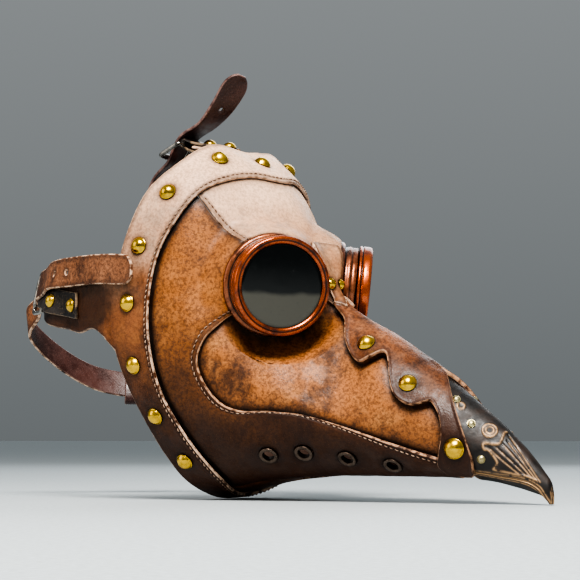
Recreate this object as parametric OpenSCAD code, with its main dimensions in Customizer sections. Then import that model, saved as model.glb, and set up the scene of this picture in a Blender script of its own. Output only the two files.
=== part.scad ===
// Plague doctor mask: riveted leather panels on a rim band, two screw-rim eyepieces,
// a rigid beak tip and two buckled head straps.
// +X points forward along the beak, +Y to the wearer's left, +Z up. The mask rests on its
// chin and its beak tip, and the origin is under the middle of the whole object.

/* [Leather] */
// Thickness of every leather panel
leather = 2.4; // [1.6:0.1:3]
// Thickness of the head straps
strap_t = 2.2; // [1.6:0.1:2.8]
// Width of the head straps
strap_w = 19; // [16:0.5:20]

/* [Eyepieces] */
// Outer diameter of the bezel rings
bezel_d = 62; // [58:0.5:64]
// Diameter of the lens that shows inside the bezel
view_d = 52; // [44:0.5:52]
// Distance from the middle of the mask to each eyepiece axis, at the leather
eye_y = 36.4; // [35.4:0.2:38]
// Turn of the eyepiece axes away from straight ahead
eye_splay = 36; // [30:1:40]
// Droop of the eyepiece axes below level
eye_droop = 6; // [0:1:12]
// Screw pitch of the bezel rings
bezel_pitch = 2; // [1:0.25:3]

/* [Rivets] */
// Diameter of the domed rivet heads
rivet_d = 11; // [8:0.5:13]
// Diameter of the two big rivets on the collar
collar_rivet_d = 12.5; // [10:0.5:14]
// Number of vent eyelets on each side
vents = 4; // [2:1:4]
// Bore of the vent eyelets
vent_bore = 7; // [4:0.5:8]

/* [Buckles] */
// Diameter of the buckle wire
wire_d = 3; // [2.4:0.2:3.4]
// Inside width of the buckle frames
buckle_w = 25; // [23:0.5:27]
// Distance between the two bars of a buckle frame
buckle_l = 18; // [17:0.5:20]

/* [Hidden] */
$fn = 48;

// Half rings of the face, from the crown over the wearer's left side to the chin, as
// [x, y, z]. The first is the back edge of the rim band, the second its sewn front edge and
// the third passes behind the eyepieces.
FACE = [
    [[-27, 0, 226], [-28, 32, 228], [-36, 54, 216], [-50, 73, 194], [-62, 81.5, 159],
     [-71, 82, 118], [-67, 77, 84], [-55, 63, 46], [-44, 40, 13], [-41, 0, 0]],
    [[5, 0, 205], [-3, 28, 206], [-14, 56, 197], [-25, 71, 178], [-37, 79, 150],
     [-42, 81, 112], [-39, 75, 74], [-29, 61, 42], [-18, 38, 14], [-25, 0, 2]],
    [[31, 0, 166], [25, 22, 164], [13, 43, 158], [-1, 60, 140], [-9, 69, 118],
     [-8, 71, 93], [-1, 66, 64], [9, 52, 34], [15, 28, 14], [13, 0, 9.5]],
    [[53, 0, 126], [52, 9, 122], [51, 18, 112], [51, 27, 97], [51, 37, 79],
     [51, 45, 60], [51, 44, 45], [51, 34, 28], [51, 17, 15], [51, 0, 12.5]]
];
// Stations of the beak: [x of the ridge, ridge height, height of the widest point,
// keel height, half width, how far the section leans forward for each millimetre down].
BEAK = [
    [93, 101, 47, 12.5, 33.5, 0.1],
    [127, 79.5, 41, 11.5, 23.5, 0.36],
    [154, 60, 31, 7.5, 15.5, 0.4],
    [177, 41, 21, 2.5, 9.5, 0.4],
    [197, 16, 8, -1.4, 3.4, 0.1]
];
BEAK_ROWS = 9;

function beak_ring(b) = [for (k = [0:BEAK_ROWS])
    let (a = 180 * k / BEAK_ROWS,
         z = b[2] + cos(a) * (a < 90 ? b[1] - b[2] : b[2] - b[3]))
    [b[0] + b[5] * (b[1] - z), b[4] * sin(a), z]];
RINGS = concat(FACE, [for (b = BEAK) beak_ring(b)]);

// Smooth curves through evenly numbered points
function flip(p) = [p[0], -p[1], p[2]];
function cubic(a, b, c, d, f) =
    b + 0.5 * f * (c - a + f * (2 * a - 5 * b + 4 * c - d + f * (3 * (b - c) + d - a)));
function past(v, i) = let (n = len(v) - 1)
    i < 0 ? 2 * v[0] - v[1] : i > n ? 2 * v[n] - v[n - 1] : v[i];
function spline(v, u) = let (i = max(0, min(len(v) - 2, floor(u))))
    cubic(past(v, i - 1), v[i], v[i + 1], past(v, i + 2), u - i);
function around(r, i) = i < 0 ? flip(r[-i]) : i > BEAK_ROWS ? flip(r[2 * BEAK_ROWS - i]) : r[i];
function ring_at(r, t) = let (i = max(0, min(BEAK_ROWS - 1, floor(t))))
    cubic(around(r, i - 1), r[i], r[i + 1], around(r, i + 2), t - i);
function unit(v) = v / norm(v);
function smooth(x) = let (c = max(0, min(1, x))) c * c * (3 - 2 * c);

// Eyepiece seats: the leather is pulled flat around each eyepiece axis
eye_x = 24.2;
eye_z = 134.2;
eye_seat = [eye_x, eye_y, eye_z];
eye_axis = [cos(eye_splay) * cos(eye_droop), sin(eye_splay) * cos(eye_droop), -sin(eye_droop)];
flat_r = 33;
blend_r = 44;
function flatten(p) =
    let (d = p - eye_seat, a = d * eye_axis, r = norm(d - a * eye_axis))
    p - eye_axis * a * (1 - smooth((r - flat_r) / (blend_r - flat_r)));

// The outer skin of the mask. s runs from the back edge (0) to the beak's end, t from the
// crown (0) to the chin (9), and negative t is the wearer's right side.
function raw_skin(s, t) =
    let (i = max(0, min(len(RINGS) - 2, floor(s))))
    let (near = [for (k = [max(0, i - 1):min(len(RINGS) - 1, i + 2)]) ring_at(RINGS[k], t)])
    spline(near, s - max(0, i - 1));
function skin(s, t) = t < 0 ? flip(skin(s, -t)) : flatten(raw_skin(s, t));
step = 0.02;
function outward(s, t) =
    unit(cross(skin(s + step, t) - skin(s - step, t), skin(s, t + step) - skin(s, t - step)));
function at(s, t, h) = skin(s, t) + h * outward(s, t);

// A closed sheet of leather over a grid of [outer, inner] point pairs. Cells where
// has(i, j) is false are left out, and loop joins the last column to the first.
module sheet(grid, loop = false) {
    cols = len(grid);
    rows = len(grid[0]);
    cells = loop ? cols : cols - 1;
    function id(i, j, k) = 2 * ((i % cols) * rows + j) + k;
    function has(i, j) = let (c = loop ? (i + cols) % cols : i)
        c >= 0 && c < cells && j >= 0 && j < rows - 1
        && is_list(grid[c][j]) && is_list(grid[(c + 1) % cols][j])
        && is_list(grid[c][j + 1]) && is_list(grid[(c + 1) % cols][j + 1]);
    points = [for (c = grid, p = c) each (is_list(p) ? p : [[0, 0, 0], [0, 0, 0]])];
    faces = [for (i = [0:cells - 1], j = [0:rows - 2]) if (has(i, j))
        let (a = id(i, j, 0), b = id(i + 1, j, 0), c = id(i + 1, j + 1, 0), d = id(i, j + 1, 0))
        each concat(
            [[a, b, c], [a, c, d], [a + 1, c + 1, b + 1], [a + 1, d + 1, c + 1]],
            has(i, j - 1) ? [] : [[b, a, a + 1], [b, a + 1, b + 1]],
            has(i, j + 1) ? [] : [[d, c, c + 1], [d, c + 1, d + 1]],
            has(i - 1, j) ? [] : [[a, d, d + 1], [a, d + 1, a + 1]],
            has(i + 1, j) ? [] : [[c, b, b + 1], [c, b + 1, c + 1]])];
    polyhedron(points, faces);
}

// Layers of leather: the rim band and the beak strips lie on top, the forehead and cheeks
// under them, and the beak sides under those
layer_gap = 0.3;
top = 0;
middle = -leather - layer_gap;
bottom = 2 * middle;
function mix(a, b, f) = a + (b - a) * f;
function layer(s, t, h) = [at(s, t, h), at(s, t, h - leather)];
// A panel across stations of [s, t] points: one on each edge, and perhaps one between them
function three(r) = len(r) == 3 ? r : [r[0], (r[0] + r[1]) / 2, r[1]];
function panel(stations, per, across, h) = let (rails = [for (r = stations) three(r)])
    [for (i = [0:(len(rails) - 1) * per]) let (r = spline(rails, i / per))
        [for (j = [0:across]) let (p = spline(r, 2 * j / across)) layer(p[0], p[1], h)]];

// The rim band and its three ears, where the straps are fastened. An ear is a list of
// [middle, half width], outward from the band; its root spans ear_from to ear_to round the rim.
band_columns = 90;
band_rows = 5;
band_front = 1.02;
// The rear buckle hangs from the right ear. Its places are given on the left and flipped:
// x along the strap away from the mask, y outward, z up, from the middle of the hinge bar.
rear_hinge = [-155, 50.5, 137];
rear_turn = 210;
rear_lean = 12;
rear_up = [-sin(rear_lean) * sin(rear_turn), sin(rear_lean) * cos(rear_turn), cos(rear_lean)];
rear_out = [cos(rear_lean) * sin(rear_turn), -cos(rear_lean) * cos(rear_turn), sin(rear_lean)];
function rear_spot(x, y, z) =
    rear_hinge + x * [cos(rear_turn), sin(rear_turn), 0] + y * rear_out + z * rear_up;
// The top buckle hangs from the top ear, sloping down to the back
top_hinge = [-71, 0, 234.5];
top_slope = 24;
function top_spot(x, y) = top_hinge
    + [-x * cos(top_slope) - y * sin(top_slope), 0, y * cos(top_slope) - x * sin(top_slope)];

up = [0, 0, 1];
side = [0, 1, 0];
EAR_RIGHT = [[[-74, 83.5, 122], 20, -up], [[-88, 80, 124.5], 16, -up],
             [[-103, 75.5, 124], 17.5, -up], [[-119, 69, 126.5], 17, -up],
             [rear_spot(-21, 1.3, -8), 15.5, -rear_up], [rear_spot(-9, 1.2, -4.5), 11.5, -rear_up],
             [rear_spot(-4, 1.2, -4), 8, -rear_up]];
EAR_LEFT = [[[-75, 83, 117], 19, -up], [[-88, 81, 112], 15.5, -up], [[-103, 78, 106], 13.5, -up],
            [[-118, 73, 100], 12.5, -up], [[-131, 67, 95], 9, -up]];
EAR_TOP = [[[-37, 0, 227.5], 12, side], [[-47, 0, 229.3], 11.5, side],
           [[-56, 0, 231], 10.5, side], [[-64.5, 0, 233], 8, side]];
ear_rows = len(EAR_RIGHT);
side_root = [4.3, 5.7];
top_root = [-0.5, 0.5];

// A place on an ear: v along its rows, u across from -1 to 1 in the direction of growing t,
// h outward from its outer face
function ear_at(ear, v, u, h) = let (
        e = spline(ear, v), across = unit(e[2]),
        along = spline(ear, v + 0.1)[0] - spline(ear, v - 0.1)[0])
    e[0] + across * u * e[1] + unit(cross(across, along)) * h;
function ear_cell(t, row) = let (
        lateral = abs(t) >= side_root[0] - 0.01 && abs(t) <= side_root[1] + 0.01,
        ear = lateral ? (t < 0 ? EAR_RIGHT : EAR_LEFT) : EAR_TOP,
        root = lateral ? side_root : top_root, a = lateral ? abs(t) : t,
        u = 2 * (a - root[0]) / (root[1] - root[0]) - 1,
        v = ear_rows - 1 - row)
    v >= len(ear) || abs(u) > 1.01 ? 0
    : [for (h = [0, -leather]) let (p = ear_at(ear, v, u, h)) lateral && t < 0 ? flip(p) : p];

module rim_band() {
    grid = [for (i = [0:band_columns - 1]) let (t = BEAK_ROWS * (2 * i / band_columns - 1))
        [for (row = [0:ear_rows + band_rows])
            row < ear_rows ? ear_cell(t, row)
            : layer(band_front * (row - ear_rows) / band_rows, t, top)]];
    color("peru") sheet(grid, loop = true);
}

// Edges between the panels, as [s, t]
tuck_s = 0.8;
seam_top = [tuck_s, 2.3];
seam_brow = [1.95, 2.1];
seam_nose = [2.95, 1];
seam_gap = 0.06;
jaw_t = 8.45;
function seam(u) = spline([seam_top, seam_brow, seam_nose], u);
// The cheek's first stations end inside the eyepiece hole
CHEEK = [[seam(0), seam(0.7), seam(1.4)], [[tuck_s, 3], [1.7, 2.75], [2.4, 2.5]],
         [[tuck_s, 4], [1.65, 3.6], [2.4, 3.1]],
         [[tuck_s, 5], [2.08, 4.6]], [[tuck_s, 6], [1.9, 5.45]], [[tuck_s, 7], [2, 6.05]],
         [[tuck_s, 7.8], [2.3, 6.15]], [[0.95, jaw_t], [2.7, 5.8]], [[1.7, jaw_t], [3.1, 5.35]],
         [[2.6, jaw_t], [3.6, 5.2]], [[3.5, jaw_t], [4.1, 5.4]], [[4.3, jaw_t], [4.5, 5.95]],
         [[4.78, jaw_t], [4.78, 6.5]]];
SIDE = [[[1.75, 5.4], [2.9, 0]], [[1.9, 6.4], [3.2, 0]], [[2.6, 6.4], [3.5, 0]],
        [[3.3, 6], [3.9, 0]], [[3.9, 6], [4.2, 0]], [[4.4, 6.5], [4.5, 0]],
        [[4.8, 7.1], [4.8, 0]], [[5.15, 7.7], [5.15, 0]]];

VENTS = [[2.32, 7.25], [2.87, 7.05], [3.43, 7], [4, 7]];
module on_skin(spot, h) {
    p = at(spot[0], spot[1], h);
    n = outward(spot[0], spot[1]);
    translate(p) rotate([0, acos(n[2]), atan2(n[1], n[0])]) children();
}
module eye_place(h = middle)
    translate(eye_seat + h * eye_axis) rotate([0, 90 + eye_droop, eye_splay]) children();

neck_d = 52;
hole_gap = 0.3;
module eye_hole() eye_place() cylinder(d = neck_d + hole_gap, h = 60, center = true);

module forehead_panel()
    color("tan") difference() {
        sheet(panel([for (p = [seam_top, seam_brow, seam_nose])
                        [[p[0], p[1] - seam_gap], [p[0], seam_gap - p[1]]]], 8, 14, middle));
        eye_hole();
        mirror([0, 1, 0]) eye_hole();
    }
module cheek_panel()
    color("sienna") difference() {
        sheet(panel(CHEEK, 4, 11, middle));
        eye_hole();
        for (k = [1:vents]) on_skin(VENTS[k - 1], middle)
            cylinder(d = vent_bore + 3 + hole_gap, h = 12, center = true);
    }
module cheek_panel_left() cheek_panel();
module cheek_panel_right() mirror([0, 1, 0]) cheek_panel();
module beak_side()
    color("saddlebrown") difference() {
        sheet(panel(SIDE, 4, 12, bottom));
        eye_hole();
    }
module beak_side_left() beak_side();
module beak_side_right() mirror([0, 1, 0]) beak_side();

// The strip under the jaw joins both cheek panels; q runs across from the wearer's right
gusset_t = 8;
module beak_underside() {
    grid = [for (i = [0:22]) let (s = 1.02 + 0.2 * i) [for (j = [0:6])
        let (q = (j / 3 - 1) * (BEAK_ROWS - gusset_t))
        layer(s, q < 0 ? -BEAK_ROWS - q : BEAK_ROWS - q, bottom)]];
    color("saddlebrown") sheet(grid);
}
module nose_bridge_strip()
    color("sienna") sheet(panel([[[2.05, 0.42], [2.05, -0.42]], [[2.4, 0.5], [2.4, -0.5]],
        [[2.75, 0.6], [2.75, -0.6]], [[2.96, 0.9], [2.96, -0.9]]], 5, 6, top));

// The ridge strip has a scalloped edge with two riveted tabs on each side, and ends in a
// collar round the beak. Each half goes along the crown and then down the collar.
RIDGE = [[[2.98, 1], [2.98, 0]], [[3.2, 1.3], [3.2, 0]], [[3.36, 2.3], [3.4, 0]],
         [[3.6, 2.7], [3.65, 0]], [[3.82, 2.2], [3.85, 0]], [[4, 1.65], [4.05, 0]],
         [[4.12, 2.1], [4.22, 0]],
         [[4.25, 3.2], [4.4, 0]], [[4.5, 3.5], [4.7, 0]], [[4.75, 3.2], [4.95, 0]],
         [[4.86, 3.1], [5.18, 0.9]], [[4.95, 3.7], [5.32, 2.4]], [[4.9, 4.6], [5.38, 3.9]],
         [[4.76, 5.6], [5.34, 5.4]], [[4.64, 6.6], [5.2, 6.6]], [[4.7, 7.4], [5.08, 7.4]]];
module half_ridge() sheet(panel(RIDGE, 3, 5, top));
module ridge_strip()
    color("chocolate") union() {
        half_ridge();
        mirror([0, 1, 0]) half_ridge();
    }

// The rigid beak tip: an upper shell astride the ridge and a thinner lower plate along the
// keel, which rises to the surface where the beak gets too narrow for both
tip_back = 4.8;
tip_end = len(RINGS) - 1;
tip_wall = 2;
keel_wall = 1;
split_t = 7.1;
keel_end = tip_end - 0.45;
function keel_h(s) = middle + 1.8 * smooth((s - 6.6) / 0.9);
function tip_inner(s) = middle - tip_wall + 1.9 * smooth((s - tip_end + 1) / 1);
module beak_tip_upper() {
    grid = [for (i = [0:18]) let (s = mix(tip_back, tip_end, i / 18)) [for (j = [0:18])
        let (t = split_t * (1 - j / 9)) [at(s, t, middle), at(s, t, tip_inner(s))]]];
    color("black") sheet(grid);
}
module beak_tip_lower() {
    grid = [for (i = [0:18]) let (s = mix(tip_back, keel_end, i / 18)) [for (j = [0:6])
        let (q = (j / 3 - 1) * (BEAK_ROWS - split_t - 0.15),
             t = q < 0 ? -BEAK_ROWS - q : BEAK_ROWS - q)
        [at(s, t, keel_h(s)), at(s, t, keel_h(s) - keel_wall)]]];
    color("dimgray") sheet(grid);
}

// Eyepieces, along their own axis from the leather outward
flange_d = 65;
barrel_d = 59;
thread_d = 56;
flange_t = 3;
barrel_top = 11.5;
thread_top = 16;
gasket_t = 1;
lens_t = 2;
bezel_bottom = 12.3;
lip_t = 1.8;
neck_l = 8;
lens_gap = 0.2;
running = 0.1;
lens_bottom = thread_top + gasket_t;
bezel_top = lens_bottom + lens_t + lens_gap + lip_t;
module ring(outer, inner, z0, z1)
    translate([0, 0, z0]) difference() {
        cylinder(d = outer, h = z1 - z0, $fn = 96);
        translate([0, 0, -1]) cylinder(d = inner, h = z1 - z0 + 2, $fn = 96);
    }
module eyepiece_base()
    color("darkred") eye_place() difference() {
        union() {
            cylinder(d = flange_d, h = flange_t, $fn = 96);
            cylinder(d = barrel_d, h = barrel_top, $fn = 96);
            cylinder(d = thread_d, h = thread_top, $fn = 96);
            translate([0, 0, -neck_l]) cylinder(d = neck_d, h = neck_l + 1, $fn = 96);
        }
        translate([0, 0, -neck_l - 1])
            cylinder(d = neck_d - 4, h = thread_top + neck_l + 2, $fn = 96);
    }
module eyepiece_clamp()
    color("dimgray") eye_place() ring(62, neck_d, -neck_l, middle - leather - layer_gap);
module eyepiece_gasket()
    color("black") eye_place() ring(thread_d, view_d - 2, thread_top, lens_bottom);
module eyepiece_lens()
    color("darkslategray") eye_place() translate([0, 0, lens_bottom])
        cylinder(d = thread_d - 2 * lens_gap, h = lens_t, $fn = 96);
module eyepiece_bezel()
    color("orangered") eye_place() difference() {
        translate([0, 0, bezel_bottom])
            cylinder(d = bezel_d, h = bezel_top - bezel_bottom, $fn = 96);
        translate([0, 0, bezel_bottom - 1])
            cylinder(d = thread_d + 2 * running, $fn = 96,
                     h = lens_bottom + lens_t + lens_gap + 1 - bezel_bottom);
        translate([0, 0, bezel_bottom]) cylinder(d = view_d, h = 20, $fn = 96);
    }
module eyepiece_base_left() eyepiece_base();
module eyepiece_base_right() mirror([0, 1, 0]) eyepiece_base();
module eyepiece_clamp_left() eyepiece_clamp();
module eyepiece_clamp_right() mirror([0, 1, 0]) eyepiece_clamp();
module eyepiece_gasket_left() eyepiece_gasket();
module eyepiece_gasket_right() mirror([0, 1, 0]) eyepiece_gasket();
module eyepiece_lens_left() eyepiece_lens();
module eyepiece_lens_right() mirror([0, 1, 0]) eyepiece_lens();
module eyepiece_bezel_left() eyepiece_bezel();
module eyepiece_bezel_right() mirror([0, 1, 0]) eyepiece_bezel();

// A domed rivet head with its post, standing on the leather at z = 0
module rivet(d) {
    rise = 0.36 * d;
    ball = (d * d / 4 + rise * rise) / (2 * rise);
    intersection() {
        translate([0, 0, rise - ball]) sphere(r = ball);
        cylinder(d = d, h = rise);
    }
    translate([0, 0, 0.2 - leather]) cylinder(d = 3, h = leather + 0.3);
}
module both_sides() {
    children();
    mirror([0, 1, 0]) children();
}
RIM_T = [1.25, 2.75, 3.9, 4.8, 5.85, 6.75, 7.6];
module rim_rivets()
    color("gold") {
        on_skin([0.46, 0], top) rivet(rivet_d);
        both_sides() for (t = RIM_T) on_skin([0.48, t], top) rivet(rivet_d);
    }
module ridge_rivets()
    color("gold") both_sides() for (spot = [[3.68, 1.75], [4.48, 2.6]])
        on_skin(spot, top) rivet(rivet_d);
module collar_rivets()
    color("gold") both_sides() on_skin([5.06, 5.25], top) rivet(collar_rivet_d);
module bridge_rivets()
    color("gold") both_sides() on_skin([2.7, 0.36], top) rivet(7);
STUDS = [[5.42, 1.9], [5.72, 3.1], [5.6, 5.5]];
module tip_studs()
    color("khaki") both_sides() for (spot = STUDS) on_skin(spot, middle) rivet(5);
module vent_eyelets()
    color("gray") for (k = [1:vents]) on_skin(VENTS[k - 1], middle) difference() {
        union() {
            cylinder(d = vent_bore + 5, h = 0.9);
            translate([0, 0, -leather - 0.6]) cylinder(d = vent_bore + 3, h = leather + 1);
        }
        translate([0, 0, -6]) cylinder(d = vent_bore, h = 12);
    }
module vent_eyelets_left() vent_eyelets();
module vent_eyelets_right() mirror([0, 1, 0]) vent_eyelets();

// A flat strap along stations of [middle, width direction, half width]
function strap_grid(stations, per, t) = [for (i = [0:(len(stations) - 1) * per])
    let (v = i / per, p = spline(stations, v), w = unit(p[1]),
         along = spline(stations, v + 0.05)[0] - spline(stations, v - 0.05)[0],
         n = unit(cross(w, along)))
    [for (u = [-1, 1]) [for (k = [0.5, -0.5]) p[0] + w * u * p[2] + n * k * t]]];
half_w = strap_w / 2;

tab_t = 1.8;
tab_gap = 0.3;
fold_r = wire_d / 2 + tab_t / 2 + tab_gap;
tab_half = 8.5;
function fold(start) = [for (a = [start:-45:start - 180]) [fold_r * cos(a), fold_r * sin(a)]];
over = tab_t / 2 + 0.7;
REAR_TAB = concat(
    [for (v = [2:5]) [flip(ear_at(EAR_RIGHT, v, 0, over)),
        -flip(spline(EAR_RIGHT, v)[2]), tab_half]],
    [for (f = fold(90))
        [flip(rear_spot(f[0], f[1], -3.2)), flip(rear_up), tab_half]],
    [for (v = [5:-1:3]) [flip(ear_at(EAR_RIGHT, v, 0, -leather - over)),
        -flip(spline(EAR_RIGHT, v)[2]), tab_half]]);
TOP_TAB = concat(
    [for (v = [0:3]) [ear_at(EAR_TOP, v, 0, over), side, tab_half]],
    [for (f = fold(90 + top_slope)) [top_spot(f[0], f[1]), side, tab_half]],
    [for (v = [3:-1:1]) [ear_at(EAR_TOP, v, 0, -leather - over), side, tab_half]]);
// The fold has a slot for the prong's eye
module tab_slot() translate([-4.5, -6, -2]) cube([9, 12, 4]);
module rear_buckle_tab()
    color("black") difference() {
        sheet(strap_grid(REAR_TAB, 3, tab_t));
        at_rear() tab_slot();
    }
module top_buckle_tab()
    color("black") difference() {
        sheet(strap_grid(TOP_TAB, 3, tab_t));
        at_top() tab_slot();
    }

// Buckle frame: x away from the mask, y outward, z along the hinge bar
module frame_shape() {
    span = buckle_w + wire_d;
    for (x = [0, buckle_l])
        translate([x, 0, -span / 2]) cylinder(d = wire_d, h = span);
    for (z = [-span / 2, span / 2]) {
        translate([0, 0, z]) rotate([0, 90, 0]) cylinder(d = wire_d, h = buckle_l);
        for (x = [0, buckle_l]) translate([x, 0, z]) sphere(d = wire_d);
    }
}
prong_d = 2.2;
prong_gap = 0.05;
module prong_shape() {
    eye = wire_d + 2 * prong_gap;
    difference() {
        translate([0, 0, -1.5]) cylinder(d = eye + 3, h = 3);
        translate([0, 0, -2]) cylinder(d = eye, h = 4);
    }
    translate([eye / 2 + 0.9, 0, 0]) rotate([0, 90, 0]) cylinder(d = prong_d, h = buckle_l - 2);
    translate([eye / 2 + 0.9 + buckle_l - 2, 0, 0]) sphere(d = prong_d);
}
prong_drop = 30;
module at_rear()
    translate(flip(rear_hinge)) rotate([0, 0, -rear_turn]) rotate([rear_lean, 0, 0]) children();
module at_top()
    translate(top_hinge) rotate([90, 0, 180]) rotate([0, 0, -top_slope]) children();
module rear_buckle_frame() color("silver") at_rear() frame_shape();
module rear_buckle_prong() color("silver") at_rear() rotate([0, 0, -prong_drop]) prong_shape();
module top_buckle_frame() color("silver") at_top() frame_shape();
module top_buckle_prong() color("silver") at_top() rotate([0, 0, -prong_drop]) prong_shape();

function rear_station(x, y, z) = [flip(rear_spot(x, y, z)), flip(rear_up), half_w];
REAR_STRAP = [
    [[-47.5, -88.5, 144], up, 3.5], [[-50, -88.3, 144.2], up, 7.5], [[-56, -87.7, 144.6], up, half_w],
    [[-81, -84.5, 146], up, half_w], [[-108, -78, 146], up, half_w],
    rear_station(-28, 6.5, 7.5), rear_station(-12, 5.2, 4.5), rear_station(0, 4.8, 2.5),
    rear_station(9, 1.2, 1), rear_station(18, -3.8, -1), rear_station(28, -7, -6),
    [[-195, -24, 117], [-0.15, 0, 1], half_w], [[-195, 2, 98], [-0.3, 0.1, 1], half_w],
    [[-183, 30, 82], [-0.4, 0.3, 1], half_w], [[-162, 54, 77], [-0.3, 0.4, 1], half_w],
    [[-142, 68, 84], [-0.2, 0.3, 1], half_w], [[-125, 74, 96], [0, 0.1, 1], half_w],
    [[-108, 79.5, 104.5], [0, 0, 1], half_w], [[-102, 81.3, 107], [0, 0, 1], 7]
];
// The top strap ends in a loop round the rear strap: up along its width, out from the head
loop_mid = [-162, 54, 77];
loop_up = unit([-0.27, 0.36, 0.9]);
loop_out = unit([-0.6, 0.67, -0.45]);
function loop_station(h, out) =
    [loop_mid + h * loop_up + out * loop_out, [0.73, 0.68, 0], half_w];
TOP_STRAP = [
    [[-29, 0, 277], [0.25, 1, -0.25], 3], [[-31.5, 0, 274.5], [0.25, 1, -0.25], 7],
    [[-36, 0, 269], [0.25, 1, -0.25], half_w], [[-46, 0, 257], [0.15, 1, -0.15], half_w],
    [[-58, 0, 247], side, half_w], [top_spot(-1, 6), side, half_w],
    [top_spot(8, 1.9), side, half_w], [top_spot(17, -5), side, half_w],
    [[-99, 2, 212], [0, 1, 0], half_w], [[-114, 8, 190], [-0.1, 1, 0], half_w],
    [[-130, 21, 158], [0.2, 1, 0], half_w], [[-144, 36, 128], [0.6, 0.8, 0], half_w],
    loop_station(24, 1.6), loop_station(12, 3.8), loop_station(0, 4.3),
    loop_station(-12.5, 2.6), loop_station(-12.5, -2.6), loop_station(0, -4.3),
    loop_station(12, -3.8), loop_station(24, -1.8), loop_station(31, -1.6)
];
module rear_strap() color("saddlebrown") sheet(strap_grid(REAR_STRAP, 3, strap_t));
module top_strap() color("saddlebrown") sheet(strap_grid(TOP_STRAP, 3, strap_t));

// Rivets on the ears; turned to stand on the outer face
module ear_rivet(ear, v, h) {
    p = ear_at(ear, v, 0, h);
    n = ear_at(ear, v, 0, h + 1) - p;
    translate(p) rotate([0, acos(n[2]), atan2(n[1], n[0])]) rivet(rivet_d - 2);
}
module rear_tab_rivets()
    color("gold") mirror([0, 1, 0]) for (v = [2.4, 3.8])
        ear_rivet(EAR_RIGHT, v, tab_t / 2 + over);
module far_ear_rivets()
    color("gold") for (v = [2.15, 3.2]) ear_rivet(EAR_LEFT, v, strap_t + 0.4);
module top_tab_rivets()
    color("gold") for (v = [0.25, 2]) ear_rivet(EAR_TOP, v, tab_t / 2 + over);

rim_band();
forehead_panel();
cheek_panel_right();
cheek_panel_left();
beak_side_right();
beak_side_left();
beak_underside();
nose_bridge_strip();
ridge_strip();
beak_tip_upper();
beak_tip_lower();
eyepiece_base_right();
eyepiece_clamp_right();
eyepiece_gasket_right();
eyepiece_lens_right();
eyepiece_bezel_right();
eyepiece_base_left();
eyepiece_clamp_left();
eyepiece_gasket_left();
eyepiece_lens_left();
eyepiece_bezel_left();
rim_rivets();
ridge_rivets();
collar_rivets();
bridge_rivets();
tip_studs();
vent_eyelets_right();
vent_eyelets_left();
rear_buckle_tab();
rear_buckle_frame();
rear_buckle_prong();
rear_strap();
rear_tab_rivets();
far_ear_rivets();
top_buckle_tab();
top_buckle_frame();
top_buckle_prong();
top_strap();
top_tab_rivets();
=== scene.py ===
# The looks of the plague doctor mask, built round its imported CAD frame. Lengths in this
# script are millimetres unless a name says otherwise; meshes are stored in metres.
import math

import bpy
import numpy as np
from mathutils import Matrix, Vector, noise
from mathutils.kdtree import KDTree


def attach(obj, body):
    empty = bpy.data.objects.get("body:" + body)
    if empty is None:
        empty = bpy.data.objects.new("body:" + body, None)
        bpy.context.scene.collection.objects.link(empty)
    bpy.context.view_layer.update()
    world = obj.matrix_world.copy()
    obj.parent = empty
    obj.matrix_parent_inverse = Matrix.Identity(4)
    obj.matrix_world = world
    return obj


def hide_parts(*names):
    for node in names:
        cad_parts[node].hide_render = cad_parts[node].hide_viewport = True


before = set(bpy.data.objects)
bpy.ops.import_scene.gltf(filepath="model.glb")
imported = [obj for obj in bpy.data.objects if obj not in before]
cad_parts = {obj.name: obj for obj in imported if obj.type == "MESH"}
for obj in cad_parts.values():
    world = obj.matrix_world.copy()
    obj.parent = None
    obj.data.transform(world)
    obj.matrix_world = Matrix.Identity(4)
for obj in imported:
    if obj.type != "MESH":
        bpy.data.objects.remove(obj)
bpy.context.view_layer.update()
MM = 0.001
# The colour sockets of a Mix node: two inputs and the output
MIX_A, MIX_B, MIX_OUT = 6, 7, 2
scene = bpy.context.scene


# ---- camera, light and floor
def hang(name, data, place, ahead):
    """A camera or lamp at a place in metres, looking ahead."""
    thing = bpy.data.objects.new(name, data)
    thing.location = place
    thing.rotation_mode = "QUATERNION"
    thing.rotation_quaternion = ahead.to_track_quat("-Z", "Y")
    scene.collection.objects.link(thing)
    return thing


def make_camera():
    """The mask seen from its right front, from low down. Lengths here are in metres."""
    azimuth = math.radians(36)
    pitch = math.radians(4.22)
    distance, height, look_x = 1.3, 0.038, 0.01
    data = bpy.data.cameras.new("camera")
    data.lens = 126.2
    data.sensor_width = 36
    place = (look_x + distance * math.sin(azimuth), -distance * math.cos(azimuth), height)
    ahead = Vector((-math.sin(azimuth) * math.cos(pitch), math.cos(azimuth) * math.cos(pitch),
                    math.sin(pitch)))
    scene.camera = hang("camera", data, place, ahead)


def softbox(name, place, aim, size, watts, colour):
    """A square area light at a place in metres, turned towards another."""
    data = bpy.data.lights.new(name, "AREA")
    data.size = size
    data.energy = watts
    data.color = colour
    hang(name, data, place, Vector(aim) - Vector(place))


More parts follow.
